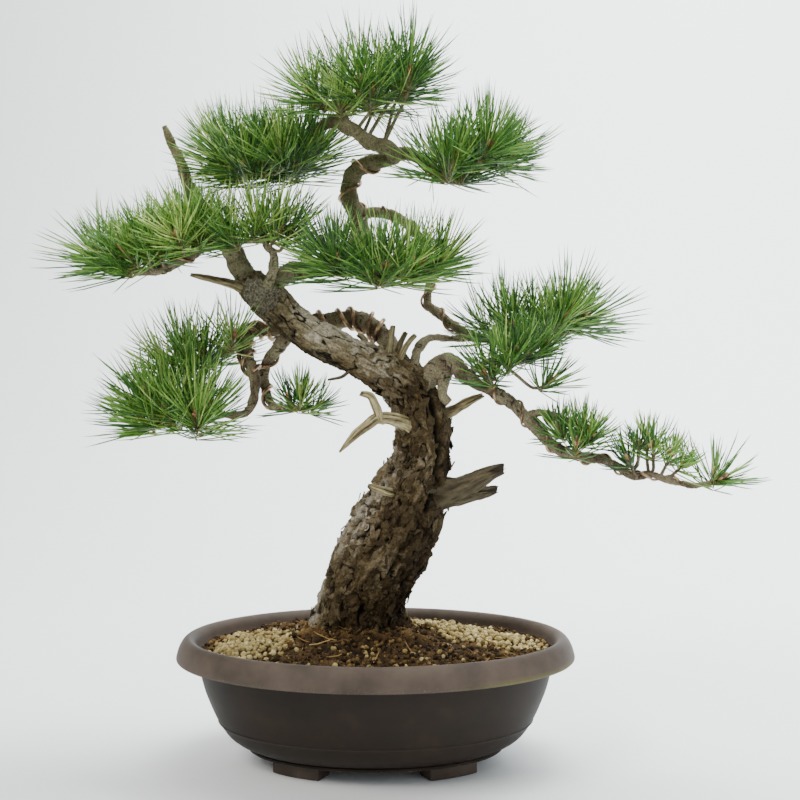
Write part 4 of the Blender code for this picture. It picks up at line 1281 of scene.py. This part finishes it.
FLAKE_COUNT = 860
places, tints = scatter_flakes(FLAKE_COUNT)
flakes = write_copies("bark_flakes", FLAKES, places, RANDOM.integers(0, 6, len(places)), tints)
flake_tints = np.zeros(len(flakes.data.vertices), np.float32)
flakes.data.attributes["tint"].data.foreach_get("value", flake_tints)
give_numbers(flakes, "plate", flake_tints)
give_numbers(flakes, "relief_shade", np.full(len(flake_tints), 0.70))
give_numbers(flakes, "cut", np.zeros(len(flake_tints)))
finish_piece(flakes, OLD_BARK, "bark", angle=40)
print("flakes", len(places))

# %% [markdown]
# ## Branches
# Branches are drawn the same way as the trunk, with finer bark. Each swells into a collar where it
# leaves its parent, and small scars ring it where needles once grew.

# %% Grow the branches
def branch_bark(salt, collar):
    """A bark pattern for one branch."""
    def pattern(length, turn, radius, centre, point):
        spot = Vector((radius * math.cos(turn) + salt, radius * math.sin(turn), length))
        height, relief_shade, plate = bark_pattern(spot, 0.0075, 0.7, 4.0)
        scars = noise.noise(Vector((salt, 0, length / 0.005))) * 0.00025
        knobs = max(0.0, noise.noise(Vector((spot.x, spot.y, spot.z)) / 0.014)) * 0.0016
        depth = 0.0013 + 0.00016 * radius / MM
        swell = collar * math.exp(-length / 0.010)
        bend = 0.10 * radius * noise.noise(Vector((math.cos(turn), math.sin(turn), length / 0.02 + salt)))
        return depth * (height - 0.45) + scars + knobs + swell + bend, relief_shade, plate
    return pattern


WOOD_ROUTES = {"trunk": trunk_route}
for number, (name, points) in enumerate(BRANCHES.items()):
    sides = 24 if points[0][3] > 8 else 16
    route = finer(to_route(points), 0.0014 if points[0][3] > 8 else 0.0016)
    WOOD_ROUTES[name] = route
    branch = draw_tube("bark_" + name, route, sides)
    answers = push_points(branch, route, sides, branch_bark(number * 0.7, 0.0016))
    give_numbers(branch, "relief_shade", answers[:, 0])
    give_numbers(branch, "plate", answers[:, 1])
    finish_piece(branch, BRANCH_BARK, "bark", name, angle=60)
print("branches", len(BRANCHES))

# %% [markdown]
# ## Dead wood
# Where a branch died, its bark was stripped and the wood left to bleach. It splits along the grain,
# so its grooves run the whole length of the piece, deeper towards the root, and it ends in a point
# or a splintered edge rather than a round tip.

# %% Carve the dead wood
def splinter(piece, route, sides, reach):
    """Tear the far end of a limb: each line of grain breaks at its own length."""
    last = len(route) - 1
    total = lengths_of(route)[-1]
    for ring, length in enumerate(lengths_of(route)):
        share = max(0.0, 1 - (total - length) / (reach * 2.5))
        along = (route[min(ring + 1, last)][0] - route[max(ring - 1, 0)][0]).normalized()
        for k in range(sides):
            turn = 2 * math.pi * k / sides
            tear = noise.noise(Vector((math.cos(turn) * 3.0, math.sin(turn) * 3.0, reach * 900)))
            piece.data.vertices[ring * sides + k].co += along * (tear - 0.15) * reach * share ** 1.6


def grain_pattern(salt, depth):
    """Long grooves that follow the limb."""
    def pattern(length, turn, radius, centre, point):
        line = Vector((math.cos(turn) * 1.9, math.sin(turn) * 1.9, length / 0.045 + salt))
        groove = noise.noise(line) * 0.5 + noise.noise(line * 2.6) * 0.4 + noise.noise(line * 5.5) * 0.3
        chip = noise.noise(Vector((point.x, point.y, point.z)) / 0.0035)
        height = min(max(0.60 + 0.95 * groove + 0.15 * chip, 0), 1)
        return radius * (depth * groove + 0.08) + 0.00025 * chip, height, 0.5
    return pattern


DARKNESS = {"split_jin": 0.80, "upper_right_jin": 0.30, "rear_stub": 0.45, "middle_stub": 0.45,
            "front_stub": 0.35, "knot": 0.6, "thin_twig": 0.8, "left_spike": 0.30}
WOOD_SIDES = 40
TORN = {"split_jin": 0.016, "upper_right_jin": 0.008, "forked_jin": 0.004, "lower_left_jin": 0.003}
for number, (name, points) in enumerate(DEAD_LIMBS.items()):
    parts = [points] + ([PRONGS[name]] if name in PRONGS else [])
    made = []
    for part in parts:
        route = finer(to_route(part), 0.0012)
        WOOD_ROUTES.setdefault(name, route)
        limb = draw_tube("wood_" + name, route, WOOD_SIDES)
        answers = push_points(limb, route, WOOD_SIDES, grain_pattern(number * 3.7, 0.45))
        splinter(limb, route, WOOD_SIDES, TORN.get(name, 0.0015))
        give_numbers(limb, "relief_shade", answers[:, 0])
        dark = DARKNESS.get(name, 0.05)
        ends = np.repeat(np.linspace(0, 1, len(route)), WOOD_SIDES)
        give_numbers(limb, "tint", dark + 1.6 * np.clip(ends - 0.85, 0, 1))
        made.append(limb)
    limb = made[0]
    if len(made) > 1:
        only(limb)
        made[1].select_set(True)
        bpy.ops.object.join()
    finish_piece(limb, DEAD_WOOD, "dead_wood", name, angle=55)
print("dead limbs", len(DEAD_LIMBS))

# %% [markdown]
# ## Training wire
# Soft aluminium wire is wound round a branch at about 45 degrees, and the branch is then bent.
# The wire's path is a helix round the branch's own curve, drawn as a tube.

# %% Wind the wires
WIRES = {
    "wire_back_1": ("back_branch", 0.13, 0.72, 0.0045, 150),
    "wire_back_2": ("back_branch", 0.15, 0.70, 0.0045, 90),
    "wire_inner_left": ("inner_left_branch", 0.22, 0.80, 0.0035, 90),
    "wire_crown_stem": ("crown_stem", 0.16, 0.90, 0.0035, 200),
    "wire_crown_right": ("crown_right_branch", 0.22, 0.52, 0.0025, 0),
    "wire_arching": ("arching_branch", 0.10, 0.80, 0.0025, 40),
    "wire_upper_left": ("upper_left_branch", 0.24, 0.50, 0.0025, 120),
    "wire_right": ("right_branch", 0.26, 0.92, 0.0025, 0),
}
WIRE_PITCH = 0.034
WIRE_STEP = 0.0016
WIRE_GAP = 0.0007


def wind(route, start, end, diameter, first_turn):
    """The route of a wire wound round a limb between two shares of its length."""
    lengths = lengths_of(route)
    across, turned, index = None, [], 0
    steps = int((end - start) * lengths[-1] / WIRE_STEP)
    arrows = []
    for i, (place, _) in enumerate(route):
        along = (route[min(i + 1, len(route) - 1)][0] - route[max(i - 1, 0)][0]).normalized()
        across = along.orthogonal() if across is None else across
        across = (across - along * across.dot(along)).normalized()
        arrows.append((across.copy(), along.cross(across)))
    for k in range(steps + 1):
        reach = start * lengths[-1] + k * WIRE_STEP
        while index < len(lengths) - 2 and lengths[index + 1] < reach:
            index += 1
        place, radius = route[index]
        share = (reach - lengths[index]) / max(lengths[index + 1] - lengths[index], 1e-9)
        place = place.lerp(route[index + 1][0], min(max(share, 0), 1))
        turn = math.radians(first_turn) + 2 * math.pi * k * WIRE_STEP / WIRE_PITCH
        off = radius + WIRE_GAP + diameter / 2
        across, other = arrows[index]
        place = place + (across * math.cos(turn) + other * math.sin(turn)) * off
        turned.append((place, diameter / 2))
    return turned


for name, (limb, start, end, diameter, first_turn) in WIRES.items():
    route = wind(WOOD_ROUTES[limb], start, end, diameter, first_turn)
    wire = draw_tube(name + "_strand", route, 10)
    finish_piece(wire, WIRE_METAL, "training_wire", name, angle=60)
print("wires", len(WIRES))

# %% [markdown]
# ## Needles
# A black pine bears its needles in pairs, packed round the last few centimetres of each shoot, with
# a cluster of winter buds at the tip. Seen together the pairs make a brush that opens upwards.
# A needle is a three-sided rod, extruded three times and closed to a point. Four are modelled, from
# nearly straight to well bent. A large pad has about fifteen hundred copies of them.

# %% Needle, bud and shoot shapes
def needle_shape(sag):
    """A needle one metre long and one metre thick; sag is how far its tip leans, in thicknesses."""
    bpy.ops.object.select_all(action="DESELECT")
    bpy.ops.mesh.primitive_circle_add(vertices=3, radius=0.42, fill_type="NGON")
    needle = bpy.context.object
    bpy.ops.object.mode_set(mode="EDIT")
    bpy.ops.mesh.select_all(action="SELECT")
    done = 0.0
    for level, width in ((0.30, 1.25), (0.75, 0.95), (1.0, 0.05)):
        lean = sag * (level ** 2 - done ** 2)
        bpy.ops.mesh.extrude_region_move(TRANSFORM_OT_translate={"value": (lean, 0, level - done)})
        bpy.ops.transform.resize(value=(width, width, 1), center_override=(sag * level ** 2, 0, level))
        done = level
    bpy.ops.mesh.merge(type="CENTER")
    bpy.ops.object.mode_set(mode="OBJECT")
    return read_shape(needle)


def bud_shape():
    """A pointed bud one metre long, from a six-sided ring extruded and drawn in."""
    bpy.ops.object.select_all(action="DESELECT")
    bpy.ops.mesh.primitive_circle_add(vertices=6, radius=0.30, fill_type="NGON")
    bud = bpy.context.object
    bpy.ops.object.mode_set(mode="EDIT")
    bpy.ops.mesh.select_all(action="SELECT")
    for rise, width in ((0.22, 1.55), (0.30, 0.92), (0.30, 0.55), (0.18, 0.1)):
        bpy.ops.mesh.extrude_region_move(TRANSFORM_OT_translate={"value": (0, 0, rise)})
        bpy.ops.transform.resize(value=(width, width, 1), center_override=(0, 0, 0))
    bpy.ops.mesh.merge(type="CENTER")
    bpy.ops.object.mode_set(mode="OBJECT")
    return read_shape(bud)


NEEDLES = [needle_shape(sag) for sag in (0.5, 2.5, 4.5, 7.0)]
BUD = bud_shape()
print("needle faces", len(NEEDLES[0][1]), "bud faces", len(BUD[1]))

# %% [markdown]
# Last year's needles lie on the soil where they fell. They are copies of the same needle shape,
# laid flat and turned any way.

# %% Drop dry needles on the soil
DRY_NEEDLE_COUNT = 46
places = []
while len(places) < DRY_NEEDLE_COUNT:
    x, y = POT_X + RANDOM.uniform(-1, 1) * soil_half[0], RANDOM.uniform(-1, 0.4) * soil_half[1]
    length = RANDOM.uniform(0.012, 0.030)
    turn = RANDOM.uniform(0, 2 * math.pi)
    far_x, far_y = x + length * math.cos(turn), y + length * math.sin(turn)
    if not inside_pot(x, y, 0.006) or not inside_pot(far_x, far_y, 0.006):
        continue
    near = Vector((x, y, soil_height(x, y) + 0.0022))
    run = Vector((far_x, far_y, soil_height(far_x, far_y) + 0.0030)) - near
    places.append(placed(near, run, (0, 0, 1), (0.0012, 0.0010, length)))
straw = write_copies("fallen_needles", NEEDLES, places, RANDOM.integers(0, 4, len(places)),
                     RANDOM.random(len(places)))
finish_piece(straw, STRAW, "soil", angle=60)
print("fallen needles", len(places))

# %% [markdown]
# ## Foliage pads
# Each pad is an even spread of shoots over an oval, with a few more along its front edge that are
# placed one by one. The shoots lean outwards from the pad's middle and towards the branch's tip.
# A pad is described by the limb it grows from, the line along which its shoots stand (x and z),
# its middle in y and half its depth, the lean of all its shoots (x and y), how many shoots are
# spread, how many pairs of needles each has, and their size. Then come the front shoots, each with
# its x, z, y, lean along x, and size. Places are in millimetres from the tree's foot.

# %% The pads
PADS = {
    "upper_left": ("upper_left_branch", ((-254, 366), (-227, 360), (-195, 370), (-164, 386), (-128, 394)),
                   (-48, 40), (-0.50, 0.0), 13, 40, 1.0,
                   ((-254, 366, -60, -1.0, 1.02), (-227, 360, -66, -0.55, 1.0), (-203, 374, -72, -0.2, 0.95),
                    (-164, 386, -64, 0.0, 1.0))),
    "centre_left": ("centre_left_branch", ((-126, 384), (-99, 390), (-68, 384)),
                    (-58, 16), (0.05, -0.1), 4, 28, 0.86,
                    ((-98, 394, -70, 0.3, 0.9), (-125, 386, -66, -0.6, 0.8), (-67, 386, -62, 0.6, 0.85))),
    "crown_left": ("crown_left_branch", ((-146, 466), (-116, 458), (-84, 466), (-57, 468), (-40, 486)),
                   (-4, 46), (-0.28, 0.0), 15, 40, 1.04,
                   ((-130, 464, -28, -0.5, 1.1), (-114, 455, -34, -0.15, 1.12), (-83, 468, -32, 0.05, 1.0),
                    (-66, 458, -24, 0.3, 0.9))),
    "crown_top": ("crown_top_branch", ((-44, 528), (-20, 522), (13, 528), (40, 536), (64, 540)),
                  (-42, 48), (0.10, 0.0), 11, 32, 1.08,
                  ((-20, 519, -62, -0.2, 1.1), (13, 524, -66, 0.1, 1.1), (-48, 526, -54, -0.9, 1.0),
                   (46, 530, -56, 0.8, 1.0))),
    "crown_right": ("crown_right_branch", ((66, 460), (85, 454), (109, 460), (129, 470), (150, 466)),
                    (-42, 40), (0.35, 0.0), 9, 32, 0.98,
                    ((84, 453, -60, -0.2, 1.0), (128, 471, -62, 0.7, 1.0), (106, 448, -54, 0.6, 0.85),
                     (146, 461, -46, 1.2, 0.95))),
    "centre": ("centre_branch", ((-44, 366), (1, 354), (25, 349), (58, 350), (84, 362)),
               (-80, 32), (0.04, -0.12), 10, 30, 0.95,
               ((26, 350, -104, 0.25, 1.05), (10, 344, -100, -0.6, 0.9), (-22, 352, -92, -0.8, 0.95),
                (58, 352, -92, 0.9, 1.0), (80, 360, -84, 0.7, 0.9))),
    "right_upper": ("arching_branch", ((112, 292), (150, 292), (186, 302), (219, 306), (240, 304)),
                    (-22, 42), (0.25, 0.0), 10, 28, 0.98,
                    ((153, 292, -46, -0.35, 1.0), (203, 309, -50, 0.55, 1.15), (186, 298, -46, 0.1, 1.0),
                     (222, 306, -30, 1.2, 1.1))),
    "right_lower": ("right_lower_twig", ((122, 256), (141, 260), (160, 266), (178, 262)),
                    (-86, 20), (0.22, -0.2), 3, 26, 0.72,
                    ((121, 250, -96, -0.6, 0.85), (141, 263, -98, 0.0, 0.8), (180, 242, -90, 1.2, 0.62),
                     (159, 270, -92, 0.4, 0.7), (178, 278, -84, 0.8, 0.6))),
    "cascade_inner": ("cascade_branchlet", ((188, 200), (206, 190), (226, 194)),
                      (-88, 18), (0.12, 0.0), 3, 22, 0.62,
                      ((206, 184, -98, 0.0, 0.75), (220, 190, -94, 0.6, 0.6), (192, 196, -92, -0.5, 0.6))),
    "cascade_middle": ("right_branch", ((252, 172), (278, 182), (296, 176)),
                       (-90, 16), (0.10, 0.0), 2, 20, 0.58,
                       ((278, 180, -98, -0.1, 0.68), (295, 173, -96, 0.4, 0.55), (256, 168, -96, -0.5, 0.6),
                        (308, 165, -92, 1.1, 0.5))),
    "cascade_tip": ("right_branch", ((334, 153), (342, 153)), (-94, 4), (0.9, 0.0), 1, 12, 0.62,
                    ((336, 154, -96, 0.0, 0.80), (341, 152, -94, 2.4, 0.82))),
    "lower_left_front": ("back_branch", ((-214, 214), (-190, 208), (-157, 210), (-132, 222)),
                         (-52, 38), (-0.35, -0.05), 9, 32, 0.98,
                         ((-154, 206, -76, 0.05, 1.12), (-202, 229, -70, -0.5, 1.0),
                          (-209, 206, -66, -1.1, 1.0), (-170, 238, -40, 0.1, 1.1),
                          (-186, 216, -60, -0.3, 1.05))),
    "lower_left_back": ("left_back_twig", ((-190, 262), (-168, 264), (-142, 278), (-128, 288)),
                        (0, 24), (-0.15, 0.05), 4, 26, 1.0,
                        ((-170, 265, -34, -0.2, 1.12), (-127, 288, -22, 0.2, 0.85),
                         (-196, 258, -20, -0.8, 1.0))),
    "lower_inner": ("inner_left_branch", ((-74, 222), (-58, 223), (-44, 218)),
                    (-40, 8), (0.35, 0.0), 1, 18, 0.55,
                    ((-68, 224, -42, -0.3, 0.6), (-57, 224, -46, 0.2, 0.66), (-43, 219, -44, 1.2, 0.6))),
}
# How fresh a pad's needles are: 0 is the darkest green, 1 the yellowest.
AGES = {"upper_left": 0.52, "lower_left_front": 0.56, "lower_left_back": 0.52, "crown_top": 0.42,
        "right_upper": 0.36, "crown_right": 0.40, "centre": 0.50}
NEEDLE_LENGTH, NEEDLE_WIDTH = 0.066, 0.00136
SHOOT_LENGTH = 0.020
PLAIN_AGE = 0.44
GOLDEN_TURN = 2.39996


def shoot_places(pad):
    """Where each shoot of a pad stands, which way it points and how large it is."""
    limb, line, (middle, depth), (flow_x, flow_y), count, _, size, front = PADS[pad]
    xs, zs = [p[0] for p in line], [p[1] for p in line]
    centre_x, half = (xs[0] + xs[-1]) / 2, (xs[-1] - xs[0]) / 2
    found = []
    for x, z, y, lean_x, share in front:
        lean = np.array([lean_x, -0.25, 1.0]) + RANDOM.normal(0, 0.05, 3)
        found.append((np.array(TREE_FOOT) + np.array([x, y, z]) * MM, lean / np.linalg.norm(lean), share))
    for k in range(count):
        # An even spread over the pad's oval, as seeds sit in a sunflower.
        away = math.sqrt((k + 0.5) / count)
        turn = k * GOLDEN_TURN + len(pad)
        u, v = away * math.cos(turn), away * math.sin(turn)
        x = centre_x + half * u + RANDOM.uniform(-5, 5)
        y = middle + depth * v + RANDOM.uniform(-4, 4)
        z = float(np.interp(x, xs, zs)) + RANDOM.uniform(-3, 7) + 5 * (1 - away)
        lean = np.array([0.62 * u + flow_x, 0.75 * v + flow_y, 1.0])
        lean += RANDOM.normal(0, 0.24, 3)
        place = np.array(TREE_FOOT) + np.array([x, y, z]) * MM
        found.append((place, lean / np.linalg.norm(lean), size * RANDOM.uniform(0.84, 1.10)))
    return found


def tuft(place, axis, size, pairs, age):
    """Matrices, shapes and tints of the needles on one shoot."""
    matrices, kinds, tints = [], [], []
    side = np.cross(axis, (0.3, 0.8, 0.1))
    side /= np.linalg.norm(side)
    other = np.cross(axis, side)
    age += RANDOM.normal(0, 0.15)
    for k in range(pairs):
        up = (k + RANDOM.random()) / pairs
        base = place + axis * SHOOT_LENGTH * size * (up - 1.0) * 0.9
        angle = math.radians(80 - 62 * up ** 0.85 + RANDOM.normal(0, 12))
        round_ = k * GOLDEN_TURN + RANDOM.normal(0, 0.4)
        out = side * math.cos(round_) + other * math.sin(round_)
        arrow = axis * math.cos(angle) + out * math.sin(angle)
        # Needles reach for the light, so few of them hang.
        arrow[2] = max(arrow[2], RANDOM.uniform(-0.35, 0.10))
        arrow /= np.linalg.norm(arrow)
        spread = np.cross(arrow, any_direction()[0])
        spread /= np.linalg.norm(spread)
        length = NEEDLE_LENGTH * size * RANDOM.uniform(0.72, 1.16) * (1.0 - 0.08 * up)
        for sign in (-1, 1):
            way = arrow + spread * sign * RANDOM.uniform(0.03, 0.13)
            upwards = np.array([0, 0, 1.0]) - way * way[2] + 0.25 * any_direction()[0]
            matrices.append(placed(base, way, upwards,
                                   (NEEDLE_WIDTH, NEEDLE_WIDTH * 0.8, length * RANDOM.uniform(0.96, 1.04))))
            kinds.append(int(RANDOM.integers(0, 4)))
            tints.append(min(max(age + RANDOM.normal(0, 0.20) + 0.14 * (up - 0.5), 0), 1))
    return matrices, kinds, tints


# %% Grow the pads
def nearest_on(limb, place):
    """The point of a limb's route that is nearest to a place, and its radius."""
    spot = Vector(place)
    return min(WOOD_ROUTES[limb], key=lambda item: (item[0] - spot).length)


def twig_route(limb, place, axis):
    """A twig that leaves the limb sideways and turns up into the shoot."""
    tip = Vector(place)
    end = tip - Vector(axis) * SHOOT_LENGTH * 0.9
    start, radius = nearest_on(limb, end)
    end.z = max(end.z, min(start.z, tip.z - 0.004))
    middle = start.lerp(end, 0.5)
    return finer([(start, min(radius * 0.7, 0.0020)), (middle, 0.0018), (end, 0.0017), (tip, 0.0014)], 0.004)


total = 0
for pad, (limb, _, _, _, _, pairs, *_) in PADS.items():
    matrices, kinds, tints, buds, bud_tints, twigs = [], [], [], [], [], []
    for number, (place, axis, size) in enumerate(shoot_places(pad)):
        more = tuft(place, axis, size, pairs, AGES.get(pad, PLAIN_AGE))
        matrices += more[0]
        kinds += more[1]
        tints += more[2]
        for k in range(4):
            tilt = axis + (0.0 if k == 0 else 0.55) * any_direction()[0]
            length = (0.0115 if k == 0 else 0.0075) * RANDOM.uniform(0.8, 1.2)
            width = 0.0054 if k == 0 else 0.0040
            buds.append(placed(place, tilt, any_direction()[0], (width, width, length)))
            bud_tints.append(RANDOM.random())
        twigs.append(draw_tube(f"twig_{pad}_{number}", twig_route(limb, place, axis), 6))
    needles = write_copies("needles_" + pad, NEEDLES, matrices, kinds, tints)
    finish_piece(needles, NEEDLE_SKIN, "needles", "foliage_" + pad, angle=0)
    clusters = write_copies("buds_" + pad, [BUD], buds, np.zeros(len(buds), int), bud_tints)
    finish_piece(clusters, BUD_SCALES, "needles", angle=60)
    only(twigs[0])
    for other in twigs[1:]:
        other.select_set(True)
    bpy.ops.object.join()
    twigs[0].name = "twigs_" + pad
    give_numbers(twigs[0], "relief_shade", RANDOM.uniform(0.3, 0.9, len(twigs[0].data.vertices)))
    finish_piece(twigs[0], BRANCH_BARK, "bark", angle=60)
    total += len(matrices)
print("needles", total)
